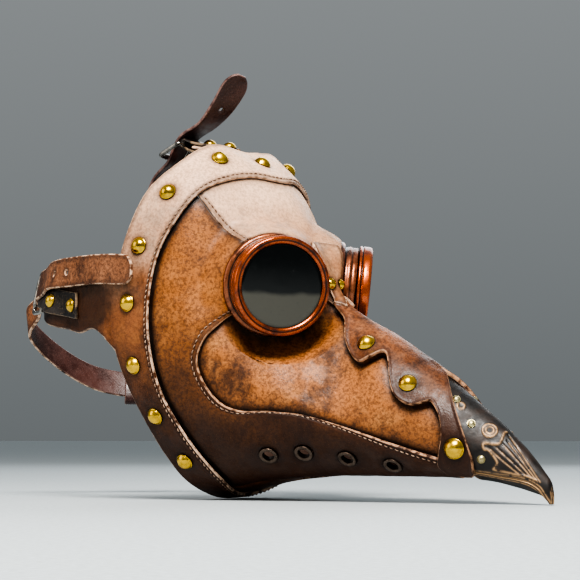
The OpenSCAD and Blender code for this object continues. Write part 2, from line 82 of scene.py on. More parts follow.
def make_light():
    """Three softboxes and a backdrop that gets paler upwards."""
    middle = (0.0, 0.0, 0.12)
    softbox("key", (0.5, -0.75, 1.3), middle, 0.6, 40, (1.0, 0.97, 0.93))
    softbox("rim", (-0.5, 1.3, 1.0), middle, 1.0, 7, (0.9, 0.96, 1.0))
    softbox("fill", (-1.4, -1.6, 0.9), middle, 1.4, 10, (1.0, 0.95, 0.9))
    world = bpy.data.worlds.new("studio")
    world.use_nodes = True
    tree = world.node_tree
    place = tree.nodes.new("ShaderNodeTexCoord")
    split_up = tree.nodes.new("ShaderNodeSeparateXYZ")
    ramp = tree.nodes.new("ShaderNodeMapRange")
    blend = tree.nodes.new("ShaderNodeMix")
    blend.data_type = "RGBA"
    blend.inputs[MIX_A].default_value = (0.34, 0.37, 0.38, 1)
    blend.inputs[MIX_B].default_value = (0.86, 0.9, 0.92, 1)
    ramp.inputs["From Min"].default_value = -0.02
    ramp.inputs["From Max"].default_value = 0.6
    tree.links.new(place.outputs["Generated"], split_up.inputs[0])
    tree.links.new(split_up.outputs["Z"], ramp.inputs["Value"])
    tree.links.new(ramp.outputs[0], blend.inputs["Factor"])
    tree.links.new(blend.outputs[MIX_OUT], tree.nodes["Background"].inputs["Color"])
    tree.nodes["Background"].inputs["Strength"].default_value = 0.42
    scene.world = world
    scene.view_settings.look = "AgX - High Contrast"


make_camera()
make_light()


# ---- the mask's outer skin
# Half rings of the face, from the crown over the wearer's left side to the chin: the back
# edge of the rim band, its sewn front edge, behind the eyepieces, and the root of the beak.
FACE = [
    [[-27, 0, 226], [-28, 32, 228], [-36, 54, 216], [-50, 73, 194], [-62, 81.5, 159],
     [-71, 82, 118], [-67, 77, 84], [-55, 63, 46], [-44, 40, 13], [-41, 0, 0]],
    [[5, 0, 205], [-3, 28, 206], [-14, 56, 197], [-25, 71, 178], [-37, 79, 150],
     [-42, 81, 112], [-39, 75, 74], [-29, 61, 42], [-18, 38, 14], [-25, 0, 2]],
    [[31, 0, 166], [25, 22, 164], [13, 43, 158], [-1, 60, 140], [-9, 69, 118],
     [-8, 71, 93], [-1, 66, 64], [9, 52, 34], [15, 28, 14], [13, 0, 9.5]],
    [[53, 0, 126], [52, 9, 122], [51, 18, 112], [51, 27, 97], [51, 37, 79],
     [51, 45, 60], [51, 44, 45], [51, 34, 28], [51, 17, 15], [51, 0, 12.5]],
]
# Beak stations: x and height of the ridge, height of the widest point, height of the keel,
# half width, and how far the section leans forward for each millimetre down.
BEAK = [
    [93, 101, 47, 12.5, 33.5, 0.1],
    [127, 79.5, 41, 11.5, 23.5, 0.36],
    [154, 60, 31, 7.5, 15.5, 0.4],
    [177, 41, 21, 2.5, 9.5, 0.4],
    [197, 16, 8, -1.4, 3.4, 0.1],
]
CHIN = 9
MIRROR = np.array([1, -1, 1])


def beak_ring(station):
    """Half a section of the beak, from the ridge to the keel."""
    ridge_x, ridge, widest, keel, half, lean = station
    ring = []
    for k in range(CHIN + 1):
        a = math.pi * k / CHIN
        z = widest + math.cos(a) * (ridge - widest if k < CHIN / 2 else widest - keel)
        ring.append([ridge_x + lean * (ridge - z), half * math.sin(a), z])
    return ring


def past_ends(rows):
    """The rows with one more on each end, carried straight on."""
    rows = np.asarray(rows, float)
    return np.concatenate([[2 * rows[0] - rows[1]], rows, [2 * rows[-1] - rows[-2]]])


RINGS = np.array(FACE + [beak_ring(b) for b in BEAK], float)
NET = past_ends(np.concatenate([RINGS[:, 1:2] * MIRROR, RINGS, RINGS[:, CHIN - 1:CHIN] * MIRROR],
                               axis=1))
TIP = len(RINGS) - 1


def weights(f):
    """Smooth-curve weights of four neighbours at a fraction f between the middle two."""
    f2, f3 = f * f, f * f * f
    return [(-f + 2 * f2 - f3) / 2, (2 - 5 * f2 + 3 * f3) / 2,
            (f + 4 * f2 - 3 * f3) / 2, (f3 - f2) / 2]


def curve(rows, x):
    """Points at x (0 to len - 1) on the smooth curve through rows."""
    rows, x = past_ends(rows), np.asarray(x, float)
    i = np.clip(np.floor(x), 0, len(rows) - 4).astype(int)
    shape = x.shape + (1,) * (rows.ndim - 1)
    return sum(w.reshape(shape) * rows[i + k] for k, w in enumerate(weights(x - i)))


def unit(v):
    v = np.asarray(v, float)
    return v / np.maximum(np.linalg.norm(v, axis=-1, keepdims=True), 1e-9)


def norm(v):
    return np.linalg.norm(v, axis=-1)


def run_of(path):
    """The distance along a path, from 0, at each of its points."""
    return np.concatenate([[0], np.cumsum(norm(np.diff(path, axis=0)))])


def smooth(x):
    c = np.clip(x, 0, 1)
    return c * c * (3 - 2 * c)


# Each eyepiece stands on leather that is pulled flat round its axis
EYE_SPLAY, EYE_DROOP = math.radians(36), math.radians(6)
EYE_SEAT = np.array([24.2, 36.4, 134.2])
EYE_AXIS = np.array([math.cos(EYE_SPLAY) * math.cos(EYE_DROOP),
                     math.sin(EYE_SPLAY) * math.cos(EYE_DROOP), -math.sin(EYE_DROOP)])
# The leather is flat up to the first radius and free of the pull from the second
FLAT_R, BLEND_R = 33, 46


def eye_radius(p):
    """How far points are from the left eyepiece's axis."""
    d = p - EYE_SEAT
    return norm(d - (d @ EYE_AXIS)[..., None] * EYE_AXIS)


def skin(s, t):
    """The outer skin: s from the rim's back edge (0) to the beak's end (8), t from the
    crown (0) to the chin (9), negative on the wearer's right."""
    s, t = np.broadcast_arrays(np.asarray(s, float), np.asarray(t, float))
    side = np.where(t < 0, -1.0, 1.0)
    a = np.abs(t)
    i = np.clip(np.floor(s), 0, TIP - 1).astype(int)
    j = np.clip(np.floor(a), 0, CHIN - 1).astype(int)
    p = 0
    for m, wm in enumerate(weights(s - i)):
        for n, wn in enumerate(weights(a - j)):
            p = p + (wm * wn)[..., None] * NET[i + m, j + n]
    d = p - EYE_SEAT
    lift = d @ EYE_AXIS
    flat = 1 - smooth((eye_radius(p) - FLAT_R) / (BLEND_R - FLAT_R))
    p = p - (lift * flat)[..., None] * EYE_AXIS
    p[..., 1] *= side
    return p


def outward(s, t):
    """The skin's outward direction."""
    e = 0.02
    return unit(np.cross(skin(s + e, t) - skin(s - e, t), skin(s, t + e) - skin(s, t - e)))


def at(s, t, h):
    """Points h millimetres above the skin, or under it if h is negative."""
    return skin(s, t) + np.asarray(h, float)[..., None] * outward(s, t)


LEATHER = 2.4
# The outer faces of the three layers of panels
TOP, MIDDLE, BOTTOM = 0, -2.7, -5.4


# ---- mesh making
def spread(length, spacing, fine=(0.15, 0.4, 0.8, 1.3, 2.0)):
    """Values from 0 to 1 along an edge of this length, close together near both ends."""
    ends = [f / length for f in fine]
    inner = np.linspace(ends[-1], 1 - ends[-1], max(3, int(length / spacing)))
    return np.concatenate([[0], ends[:-1], inner, [1 - e for e in ends[:-1]][::-1], [1]])


def grid_quads(rows, columns):
    """Faces of a grid, as corner numbers."""
    i, j = np.meshgrid(np.arange(rows - 1), np.arange(columns - 1), indexing="ij")
    a = i * columns + j
    return np.stack([a, a + columns, a + columns + 1, a + 1], axis=-1).reshape(-1, 4)


def ring_quads(rings, sides, closed=False):
    """Faces between rings of points. Closed joins the last ring to the first."""
    i, k = np.meshgrid(np.arange(rings if closed else rings - 1), np.arange(sides), indexing="ij")
    j, w = (i + 1) % rings, (k + 1) % sides
    quads = [i * sides + k, i * sides + w, j * sides + w, j * sides + k]
    return np.stack(quads, axis=-1).reshape(-1, 4)


FAR = 9.0  # the edge mark of points that are away from any edge


def add_mesh(name, points, quads, materials, face_material=None, edge=FAR, grime_shade_wear=0.0):
    """A smooth-shaded object from points in millimetres, with its edge marks and its marks of grime,
    painted shade and wear.
    """
    quads = np.asarray(quads, np.int32)
    mesh = bpy.data.meshes.new(name)
    mesh.vertices.add(len(points))
    mesh.vertices.foreach_set("co", (np.asarray(points, float) * MM).astype(np.float32).ravel())
    mesh.loops.add(quads.size)
    mesh.loops.foreach_set("vertex_index", quads.ravel())
    mesh.polygons.add(len(quads))
    mesh.polygons.foreach_set("loop_start", np.arange(0, quads.size, 4, dtype=np.int32))
    mesh.polygons.foreach_set("use_smooth", np.ones(len(quads), bool))
    for material in materials:
        mesh.materials.append(material)
    if face_material is not None:
        mesh.polygons.foreach_set("material_index", np.asarray(face_material, np.int32))
    # the second mark holds grime, painted shade, and the rubbed wear of the tip
    for mark, values in (("edge", edge), ("grime_shade_wear", grime_shade_wear)):
        layer = mesh.attributes.new(mark, "FLOAT", "POINT")
        layer.data.foreach_set("value", np.full(len(points), values, np.float32))
    mesh.update(calc_edges=True)
    mesh.validate()
    thing = bpy.data.objects.new(name, mesh)
    scene.collection.objects.link(thing)
    return thing


def joined(parts):
    """The points and faces of several meshes as one."""
    starts = np.cumsum([0] + [len(points) for points, _ in parts])
    return (np.concatenate([points for points, _ in parts]),
            np.concatenate([faces + start for (_, faces), start in zip(parts, starts)]))


def distance_to(points, cloud):
    """How far each point is from the nearest point of a cloud."""
    cloud = np.asarray(cloud, float).reshape(-1, 3)
    tree = KDTree(len(cloud))
    for k, p in enumerate(cloud):
        tree.insert(p, k)
    tree.balance()
    return np.array([tree.find(p)[2] for p in points])


def boundary(quads):
    """The directed edges that only one face has."""
    edges = np.concatenate([quads[:, [k, (k + 1) % 4]] for k in range(4)])
    key = np.sort(edges, axis=1)
    _, first, counts = np.unique(key, axis=0, return_index=True, return_counts=True)
    return edges[first[counts == 1]]


def normals_of(points, quads):
    """Vertex normals, weighted by the size of the faces."""
    face = np.cross(points[quads[:, 2]] - points[quads[:, 0]],
                    points[quads[:, 3]] - points[quads[:, 1]])
    total = np.zeros_like(points)
    for k in range(4):
        np.add.at(total, quads[:, k], face)
    return unit(total)


def dents(points, sizes):
    """Soft unevenness: for each (size, depth) a noise with lumps of that size."""
    total = np.zeros(len(points))
    for size, depth in sizes:
        total += depth * np.array([noise.noise(Vector(p / size)) for p in points])
    return total


class Marks:
    """Relief, and marks of grime, painted shade and wear, gathered on a piece of leather before it is made
    solid.
    """

    def __init__(self, points):
        self.points = points
        self.height = np.zeros(len(points))
        self.grime_shade_wear = np.zeros(len(points))

    def groove(self, path, depth, width, grime_shade_wear=0.0):
        """Pressed in along a path."""
        near = np.exp(-(distance_to(self.points, path) / width) ** 2)
        self.height -= depth * near
        self.grime_shade_wear = np.maximum(self.grime_shade_wear, grime_shade_wear * near)

    def darken_near(self, cloud, start, reach, grime_shade_wear):
        """Darkening that fades out over a reach from a start distance round a cloud: grime in some places,
        painted shade in others.
        """
        d = np.maximum(distance_to(self.points, cloud) - start, 0)
        self.grime_shade_wear = np.maximum(self.grime_shade_wear, grime_shade_wear * np.exp(-d / reach))


def leather(name, points, quads, materials, toward, thick=LEATHER, edit=None, rounding=1.0,
            lumps=((16, 0.35), (5, 0.12))):
    """A solid piece of leather from its outer surface: rounded edges, relief and marks.
    toward says roughly where out is. The last material is the inside's."""
    used, quads = np.unique(quads, return_inverse=True)
    quads = quads.reshape(-1, 4)
    points = np.array(points, float).reshape(-1, 3)[used]
    normal = normals_of(points, quads)
    if np.mean(np.sum(normal * toward.reshape(-1, 3)[used], axis=1)) < 0:
        quads, normal = quads[:, ::-1], -normal
    rim = boundary(quads)
    edge = distance_to(points, np.concatenate([points[rim[:, 0]], points[rim].mean(axis=1)]))
    edge[np.unique(rim)] = 0
    marks = Marks(points)
    if edit is not None:
        edit(marks, edge)
    fall = rounding - np.sqrt(rounding ** 2 - np.maximum(rounding - edge, 0) ** 2)
    outer = points + normal * (marks.height + dents(points, lumps) - fall)[:, None]
    inner = points - normal * (thick - 0.6 * fall)[:, None]
    n = len(points)
    a, b = rim[:, 0], rim[:, 1]
    walls = np.stack([b, a, a + n, b + n], axis=1)
    faces = np.concatenate([quads, quads[:, ::-1] + n, walls])
    slots = np.repeat([0, len(materials) - 1, 0], [len(quads), len(quads), len(walls)])
    return add_mesh(name, np.concatenate([outer, inner]), faces, materials, slots,
                    np.tile(edge, 2), np.tile(marks.grime_shade_wear, 2))


def place_frames(spots):
    """Each spot's origin and turn, from its point and outward direction."""
    frames = []
    for p, n in spots:
        turn = Vector(n).to_track_quat("Z", "Y").to_matrix()
        frames.append((np.array(p, float), np.array(turn, float)))
    return frames


def lathe(profile, steps=48):
    """A turned shape round z: points, faces and dirt. Each row of the profile has a radius,
    a height and, where it is dirty, its dirt. A closed profile ends where it starts."""
    profile = np.array([(*row, 0)[:3] for row in profile], float)
    a = np.arange(steps) * 2 * math.pi / steps
    rings = [np.stack([r * np.cos(a), r * np.sin(a), np.full(steps, z)], axis=1)
             for r, z, _ in profile]
    return np.concatenate(rings), ring_quads(len(rings), steps), np.repeat(profile[:, 2], steps)


SPIN = 2.4  # how far each copy is turned from the one before, in radians


def repeat_at(name, shape, frames, material):
    """One object with a copy of a lathe shape standing in every frame."""
    points, faces, grime_shade_wear = shape
    parts = []
    for k, (origin, turn) in enumerate(frames):
        spin = SPIN * k
        swirl = np.array([[math.cos(spin), -math.sin(spin), 0],
                          [math.sin(spin), math.cos(spin), 0], [0, 0, 1]])
        parts.append((points @ swirl.T @ turn.T + origin, faces))
    return add_mesh(name, *joined(parts), [material], grime_shade_wear=np.tile(grime_shade_wear, len(frames)))


def stitches(name, path, lift, pitch=3.5, length=2.5, radius=0.42):
    """Thread stitches along a path on the leather: each dives in at both ends. lift gives
    the outward direction at every path point."""
    lift = unit(lift)
    along = run_of(path)
    starts = np.arange(pitch / 2, along[-1] - pitch / 2, pitch)
    sides, rings = 6, 5
    f = np.linspace(0, 1, rings)
    where = starts[:, None] + (f - 0.5) * length

    def follow(rows, places):
        return np.stack([np.interp(places, along, rows[:, c]) for c in range(3)], axis=-1)

    centre, up = follow(path, where), unit(follow(lift, where))
    across = unit(np.cross(follow(path, where + 0.3) - centre, up))
    bow = np.sin(math.pi * f)[:, None]
    centre = centre + up * (0.5 * bow - 0.25) + across * 0.25 * (f - 0.5)[:, None]
    a = (np.arange(sides) * 2 * math.pi / sides)[:, None]
    ring = np.cos(a) * across[:, :, None] + np.sin(a) * up[:, :, None]
    points = centre[:, :, None] + radius * (0.55 + 0.45 * bow)[:, None] * ring
    last = (rings - 1) * sides
    caps = np.array([[3, 2, 1, 0], [5, 4, 3, 0], [last, last + 1, last + 2, last + 3],
                     [last, last + 3, last + 4, last + 5]])
    one = np.concatenate([ring_quads(rings, sides), caps])
    faces = one + np.arange(len(starts))[:, None, None] * sides * rings
    return add_mesh(name, points.reshape(-1, 3), faces.reshape(-1, 4), [THREAD])


# ---- materials
class Nodes:
    """Short names for building a material's node tree."""

    def __init__(self, name):
        self.material = bpy.data.materials.new(name)
        self.material.use_nodes = True
        self.tree = self.material.node_tree
        self.tree.nodes.clear()
        self.shader = self.tree.nodes.new("ShaderNodeBsdfPrincipled")
        out = self.tree.nodes.new("ShaderNodeOutputMaterial")
        self.tree.links.new(self.shader.outputs[0], out.inputs[0])
        self.place = self.tree.nodes.new("ShaderNodeTexCoord").outputs["Object"]

    def put(self, socket, value):
        if isinstance(value, bpy.types.NodeSocket):
            self.tree.links.new(value, socket)
        else:
            socket.default_value = value

    def set(self, **values):
        for name, value in values.items():
            self.put(self.shader.inputs[name.replace("_", " ")], value)

    def noise(self, scale, detail=3.0, rough=0.55, stretch=None):
        node = self.tree.nodes.new("ShaderNodeTexNoise")
        node.inputs["Scale"].default_value = scale
        node.inputs["Detail"].default_value = detail
        node.inputs["Roughness"].default_value = rough
        place = self.place
        if stretch:
            mapping = self.tree.nodes.new("ShaderNodeMapping")
            mapping.inputs["Scale"].default_value = stretch
            self.tree.links.new(place, mapping.inputs["Vector"])
            place = mapping.outputs[0]
        self.tree.links.new(place, node.inputs["Vector"])
        return node.outputs["Fac"]

    def cells(self, scale):
        node = self.tree.nodes.new("ShaderNodeTexVoronoi")
        node.feature = "DISTANCE_TO_EDGE"
        node.inputs["Scale"].default_value = scale
        self.tree.links.new(self.place, node.inputs["Vector"])
        return node.outputs["Distance"]

    def mark(self, name):
        node = self.tree.nodes.new("ShaderNodeAttribute")
        node.attribute_name = name
        return node.outputs["Fac"]

    def height(self):
        node = self.tree.nodes.new("ShaderNodeSeparateXYZ")
        self.tree.links.new(self.place, node.inputs[0])
        return node.outputs["Z"]

    def remap(self, value, low, high, to_low=0.0, to_high=1.0):
        node = self.tree.nodes.new("ShaderNodeMapRange")
        node.interpolation_type = "SMOOTHSTEP"
        for k, v in enumerate((value, low, high, to_low, to_high)):
            self.put(node.inputs[k], v)
        return node.outputs[0]

    def sum(self, a, b, how="ADD"):
        node = self.tree.nodes.new("ShaderNodeMath")
        node.operation = how
        self.put(node.inputs[0], a)
        self.put(node.inputs[1], b)
        return node.outputs[0]

    def times(self, a, b):
        return self.sum(a, b, "MULTIPLY")

    def rough_height(self, scale, detail, amount=0.09):
        """Height in metres, with a wavering edge."""
        return self.sum(self.height(), self.times(self.noise(scale, detail), amount))

    def mix(self, factor, a, b):
        node = self.tree.nodes.new("ShaderNodeMix")
        node.data_type = "RGBA"
        self.put(node.inputs["Factor"], factor)
        for socket, colour in ((MIX_A, a), (MIX_B, b)):
            self.put(node.inputs[socket], (*colour, 1) if isinstance(colour, tuple) else colour)
        return node.outputs[MIX_OUT]

    def bump(self, value, depth_mm, strength=1.0, under=None):
        node = self.tree.nodes.new("ShaderNodeBump")
        node.inputs["Distance"].default_value = depth_mm * MM
        node.inputs["Strength"].default_value = strength
        self.tree.links.new(value, node.inputs["Height"])
        if under is not None:
            self.tree.links.new(under, node.inputs["Normal"])
        return node.outputs[0]


def distressed_leather(name, tan, light, worn, crown=0.0, rough=(0.42, 0.66), grain_depth=0.62,
                       painted_shade_height=0.185, dark=(0.030, 0.0098, 0.0045)):
    """Mottled pull-up leather: dark blotches, rubbed tan, fine speckle, pale worn edges.
    crown sets how much paler it is towards the top of the mask, as a painted highlight, and soot is the
    height in metres below which it is darkened by painted shade."""
    n = Nodes(name)
    blotch = n.remap(n.noise(34, 4, 0.6), 0.36, 0.62)
    cloud = n.remap(n.noise(95, 4, 0.65), 0.35, 0.68)
    speck = n.remap(n.noise(520, 3, 0.75), 0.4, 0.64)
    colour = n.mix(n.times(blotch, n.times(cloud, 0.35)), tan, light)
    shade = n.remap(n.noise(30, 5, 0.72, (1, 1, 0.7)), 0.47, 0.66)
    colour = n.mix(n.times(shade, 0.85), colour, dark)
    # painted shade: the leather gets darker towards the bottom of the mask
    low = n.remap(n.rough_height(26, 3), painted_shade_height, painted_shade_height - 0.11)
    colour = n.mix(n.times(low, 0.93), colour, dark)
    # painted highlight: the leather gets paler towards the top of the mask
    if crown:
        high = n.remap(n.rough_height(24, 4), 0.165, 0.262)
        colour = n.mix(n.times(high, crown), colour, worn)
    colour = n.mix(n.times(speck, grain_depth), colour, dark)
    colour = n.mix(n.remap(n.noise(1500, 2, 0.8), 0.62, 0.8, 0, 0.35), colour, light)
    edge = n.mark("edge")
    burnish = n.remap(edge, 0.8, 4.5, 0.55, 0.0)
    colour = n.mix(burnish, colour, dark)
    rub = n.times(n.remap(edge, 0.35, 1.0, 0.75, 0.0), n.remap(n.noise(260, 3), 0.36, 0.6))
    colour = n.mix(rub, colour, worn)
    # grime and painted shade from the marks, mixed towards near-black
    black = tuple(c * 0.12 for c in dark)
    colour = n.mix(n.mark("grime_shade_wear"), colour, black)
    grain = n.cells(620)
    pits = n.noise(1300, 3, 0.6)
    creases = n.noise(180, 5, 0.7)
    relief = n.bump(creases, 0.5, 0.35)
    relief = n.bump(grain, 0.22, 0.5, relief)
    relief = n.bump(pits, 0.14, 0.6, relief)
    n.set(Base_Color=colour, Roughness=n.remap(cloud, 0, 1, *rough), Normal=relief)
    n.shader.inputs["Specular IOR Level"].default_value = 0.3
    return n.material


def smooth_leather(name, base, sheen, worn, rough=0.36):
    """Strap and tab leather: close-grained, darker, with a soft shine."""
    n = Nodes(name)
    colour = n.mix(n.remap(n.noise(60, 4), 0.35, 0.65), base, sheen)
    colour = n.mix(n.remap(n.noise(700, 2), 0.55, 0.75, 0, 0.4), colour, worn)
    rub = n.times(n.remap(n.mark("edge"), 0.2, 0.75, 0.8, 0.0), n.remap(n.noise(200, 3), 0.34, 0.6))
    colour = n.mix(rub, colour, worn)
    colour = n.mix(n.mark("grime_shade_wear"), colour, tuple(c * 0.3 for c in base))
    relief = n.bump(n.noise(150, 5), 0.35, 0.4)
    relief = n.bump(n.cells(900), 0.12, 0.5, relief)
    n.set(Base_Color=colour, Roughness=n.remap(n.noise(240, 3), 0.3, 0.7, rough - 0.08, rough + 0.14),
          Normal=relief)
    return n.material


def lining_cloth(name, warm, cool):
    """The laminated textile backing inside the mask: a fine twill."""
    n = Nodes(name)
    wave = n.tree.nodes.new("ShaderNodeTexWave")
    wave.inputs["Scale"].default_value = 330
    wave.inputs["Distortion"].default_value = 1.2
    n.tree.links.new(n.place, wave.inputs["Vector"])
    colour = n.mix(n.remap(n.noise(45, 4), 0.35, 0.65), warm, cool)
    colour = n.mix(n.times(wave.outputs["Fac"], 0.22), colour, tuple(c * 0.5 for c in cool))
    # grime and painted shade from the marks, carried onto the lining
    colour = n.mix(n.times(n.mark("grime_shade_wear"), 0.5), colour, tuple(c * 0.4 for c in cool))
    n.set(Base_Color=colour, Roughness=0.85, Normal=n.bump(wave.outputs["Fac"], 0.15, 0.5))
    return n.material


def metal(name, bright, tarnish, rough=0.2, coat=0.0, metallic=1.0, streak=160, amount=0.6):
    """Plated metal with tarnish in the hollows and cloudy wear."""
    n = Nodes(name)
    wear = n.remap(n.noise(streak, 5, 0.7), 0.42, 0.68)
    colour = n.mix(n.times(wear, amount), bright, tarnish)
    colour = n.mix(n.mark("grime_shade_wear"), colour, tuple(c * 0.25 for c in tarnish))
    scratch = n.noise(900, 3, 0.6, (1, 1, 6))
    roughness = n.remap(n.noise(220, 4), 0.3, 0.7, rough * 0.7, rough * 1.7)
    n.set(Base_Color=colour, Metallic=metallic, Roughness=roughness,
          Normal=n.bump(scratch, 0.05, 0.35, n.bump(n.noise(120, 3), 0.25, 0.25)))
    n.shader.inputs["Coat Weight"].default_value = coat
    n.shader.inputs["Coat Roughness"].default_value = 0.06
    return n.material


def thread(name, colour, shade):
    n = Nodes(name)
    twist = n.noise(2600, 2, 0.5)
    n.set(Base_Color=n.mix(n.remap(n.noise(500, 2), 0.35, 0.65), colour, shade), Roughness=0.7,
          Normal=n.bump(twist, 0.12, 0.6))
    return n.material


def smoked_glass():
    n = Nodes("smoked_lens")
    dust = n.remap(n.noise(420, 5, 0.75), 0.55, 0.8, 0, 0.5)
    # painted reflection of the pale floor: the lens is lighter grey-green below its middle height
    floor_reflection = n.remap(n.rough_height(40, 2, 0.008), 0.1335, 0.1295)
    colour = n.mix(floor_reflection, (0.003, 0.0035, 0.0035), (0.062, 0.060, 0.048))
    colour = n.mix(dust, colour, (0.028, 0.03, 0.028))
    n.set(Base_Color=colour, Roughness=n.remap(n.noise(300, 4), 0.4, 0.75, 0.03, 0.14))
    n.shader.inputs["IOR"].default_value = 1.4
    n.shader.inputs["Coat Weight"].default_value = 0.1
    n.shader.inputs["Coat Roughness"].default_value = 0.03
    return n.material


def matte(name, colour, rough):
    n = Nodes(name)
    n.set(Base_Color=n.mix(n.noise(300, 4), colour, tuple(c * 1.8 for c in colour)),
          Roughness=rough, Normal=n.bump(n.noise(800, 3), 0.1, 0.5))
    return n.material


LIGHT = (0.58, 0.24, 0.075)
PALE = (0.92, 0.62, 0.43)
WORN = (0.68, 0.38, 0.22)
BAND = distressed_leather("band_leather", (0.27, 0.092, 0.03), LIGHT, PALE, crown=0.8, grain_depth=0.35)
BROW = distressed_leather("forehead_leather", (0.34, 0.13, 0.045), (0.58, 0.28, 0.12), PALE, crown=0.85,
                          grain_depth=0.3)
CHEEK_HIDE = distressed_leather("cheek_leather", (0.34, 0.118, 0.03), LIGHT, WORN)
BEAK_HIDE = distressed_leather("beak_leather", (0.4, 0.145, 0.043), (0.74, 0.34, 0.115), WORN, painted_shade_height=0.125)
RIDGE_HIDE = distressed_leather("ridge_leather", (0.27, 0.094, 0.035), (0.54, 0.26, 0.13), WORN,
                                rough=(0.34, 0.55))
STRAP_OUT = distressed_leather("strap_leather", (0.27, 0.105, 0.045), (0.46, 0.22, 0.12), PALE)
STRAP_IN = smooth_leather("strap_back", (0.042, 0.015, 0.012), (0.085, 0.035, 0.028), (0.2, 0.11, 0.09))
TAB_HIDE = smooth_leather("tab_leather", (0.010, 0.007, 0.006), (0.022, 0.015, 0.012), (0.3, 0.2, 0.12))
LINING = lining_cloth("lining", (0.42, 0.27, 0.21), (0.3, 0.18, 0.13))
BRASS = metal("rivet_brass", (0.78, 0.50, 0.07), (0.22, 0.12, 0.02), 0.2, amount=0.5)
PALE_BRASS = metal("stud_brass", (0.62, 0.54, 0.3), (0.2, 0.16, 0.08), 0.28)
COPPER = metal("bezel_copper", (0.46, 0.095, 0.022), (0.045, 0.009, 0.005), 0.24, coat=0.5,
               metallic=0.75, streak=110, amount=0.85)
OLD_COPPER = metal("base_copper", (0.30, 0.10, 0.045), (0.02, 0.008, 0.006), 0.3, coat=0.3,
                   metallic=0.8, streak=90, amount=0.9)
STEEL = metal("buckle_steel", (0.34, 0.32, 0.29), (0.05, 0.045, 0.04), 0.24, amount=0.8)
EYELET = metal("eyelet_plate", (0.13, 0.095, 0.075), (0.03, 0.02, 0.016), 0.34)
THREAD = thread("brown_thread", (0.40, 0.27, 0.19), (0.15, 0.08, 0.05))
GLASS = smoked_glass()
RUBBER = matte("gasket_rubber", (0.008, 0.008, 0.008), 0.6)


def moulded_tip():
    """Black-brown moulded shell; its raised lines and edges are rubbed to bronze."""
    n = Nodes("bronzed_tip")
    base = n.mix(n.remap(n.noise(120, 4), 0.4, 0.65), (0.007, 0.005, 0.004), (0.026, 0.014, 0.009))
    rub = n.times(n.mark("grime_shade_wear"), n.remap(n.noise(300, 4), 0.3, 0.55))
    worn = n.sum(rub, n.remap(n.mark("edge"), 0.2, 0.9, 0.9, 0.0), "MAXIMUM")
    colour = n.mix(worn, base, (0.50, 0.30, 0.15))
    relief = n.bump(n.noise(700, 4), 0.12, 0.5, n.bump(n.noise(140, 4), 0.3, 0.4))
    n.set(Base_Color=colour, Metallic=n.times(worn, 0.55),
          Roughness=n.remap(n.noise(200, 3), 0.3, 0.7, 0.38, 0.6), Normal=relief)
    return n.material


SHELL = moulded_tip()


# ---- panels of the mask
SIDES = (("right", -1), ("left", 1))


def done(thing, body, slot, *nodes):
    """The piece moves with its body and stands for its CAD nodes."""
    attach(thing, body)
    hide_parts(*nodes)


def extra(thing, body):
    """A detail the CAD does not have, such as stitching."""
    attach(thing, body)


def rails(stations):
    """Every station as three [s, t] points."""
    full = []
    for station in stations:
        a, b = station[0], station[-1]
        middle = station[1] if len(station) == 3 else [(a[0] + b[0]) / 2, (a[1] + b[1]) / 2]
        full.append([a, middle, b])
    return np.array(full, float)


def panel_grid(stations, spacing=1.5):
    """s and t over a panel, and its faces."""
    r = rails(stations)
    coarse = curve(r, np.linspace(0, len(r) - 1, 120))
    places = skin(coarse[..., 0], coarse[..., 1])
    length = run_of(places[:, 1])[-1]
    width = norm(places[:, 2] - places[:, 0]).max()
    rows = curve(r, spread(length, spacing) * (len(r) - 1))
    grid = curve(np.moveaxis(rows, 1, 0), spread(width, spacing) * 2)
    return grid[..., 0], grid[..., 1], grid_quads(*grid.shape[:2])


def near_edge(stations, edge, inset, start=0.0, end=None, steps=220):
    """s and t along a line inset mm inside edge 0 or 2 of a panel."""
    r = rails(stations)
    rows = curve(r, np.linspace(start, len(r) - 1 if end is None else end, steps))
    places = skin(rows[..., 0], rows[..., 1])
    half = norm(places[:, edge] - places[:, 1])
    f = np.minimum(inset / np.maximum(half, 0.1), 1)[:, None]
    line = rows[:, edge] * (1 - f) + rows[:, 1] * f
    return line[:, 0], line[:, 1]


def on_side(line, sign, h):
    """Points at height h over a line of s and t, on either side of the mask."""
    return at(line[0], line[1] * sign, h)


def cut_holes(s, t, h, quads, vents=()):
    """The faces that are clear of the eyepieces and the vents."""
    middle = at(s, t, h).reshape(-1, 3)[quads].mean(axis=1)
    to_eye = np.minimum(eye_radius(middle), eye_radius(middle * MIRROR))
    clear = (to_eye > EYE_HOLE) | (middle[:, 0] < BEHIND_EYES)
    for vent in vents:
        clear &= norm(middle - vent) > VENT_HOLE
    return quads[clear]


def panel(name, s, t, h, quads, hide, edit=None, node=None, **how):
    """A leather piece of the mask, whose outer face is at height h."""
    piece = leather(name, at(s, t, h), quads, [hide, LINING], outward(s, t), edit=edit, **how)
    done(piece, "mask", "brown_leather", node or name)


EYE_HOLE, VENT_HOLE = 27.3, 4.6
BEHIND_EYES = -20


def both(spots):
    """Each spot on both sides of the mask."""
    return [[s, t * sign] for s, t in spots for _, sign in SIDES]


# Places on the skin are [s, t]. A panel is listed as stations, each with the panel's two
# edges, and the middle too where it is not halfway between them.
VENTS = [[2.32, 7.25], [2.87, 7.05], [3.43, 7], [4, 7]]
RIM_SPOTS = [[0.46, 0]] + both([[0.48, t] for t in (1.25, 2.75, 3.9, 4.8, 5.85, 6.75, 7.6)])
TUCK = 0.8  # s of the panels' back edges, under the rim band
JAW = 8.45  # t of the cheek panels' lower edges
SEAMS = [[TUCK, 2.3], [1.95, 2.1], [2.95, 1]]
SEAM_INSET = 3.2
SEAM_STATIONS = [[p, [p[0], 0], [p[0], -p[1]]] for p in SEAMS]


def seam(u):
    """A place on the seam between the forehead and a cheek."""
    return [float(c) for c in curve(SEAMS, u)]


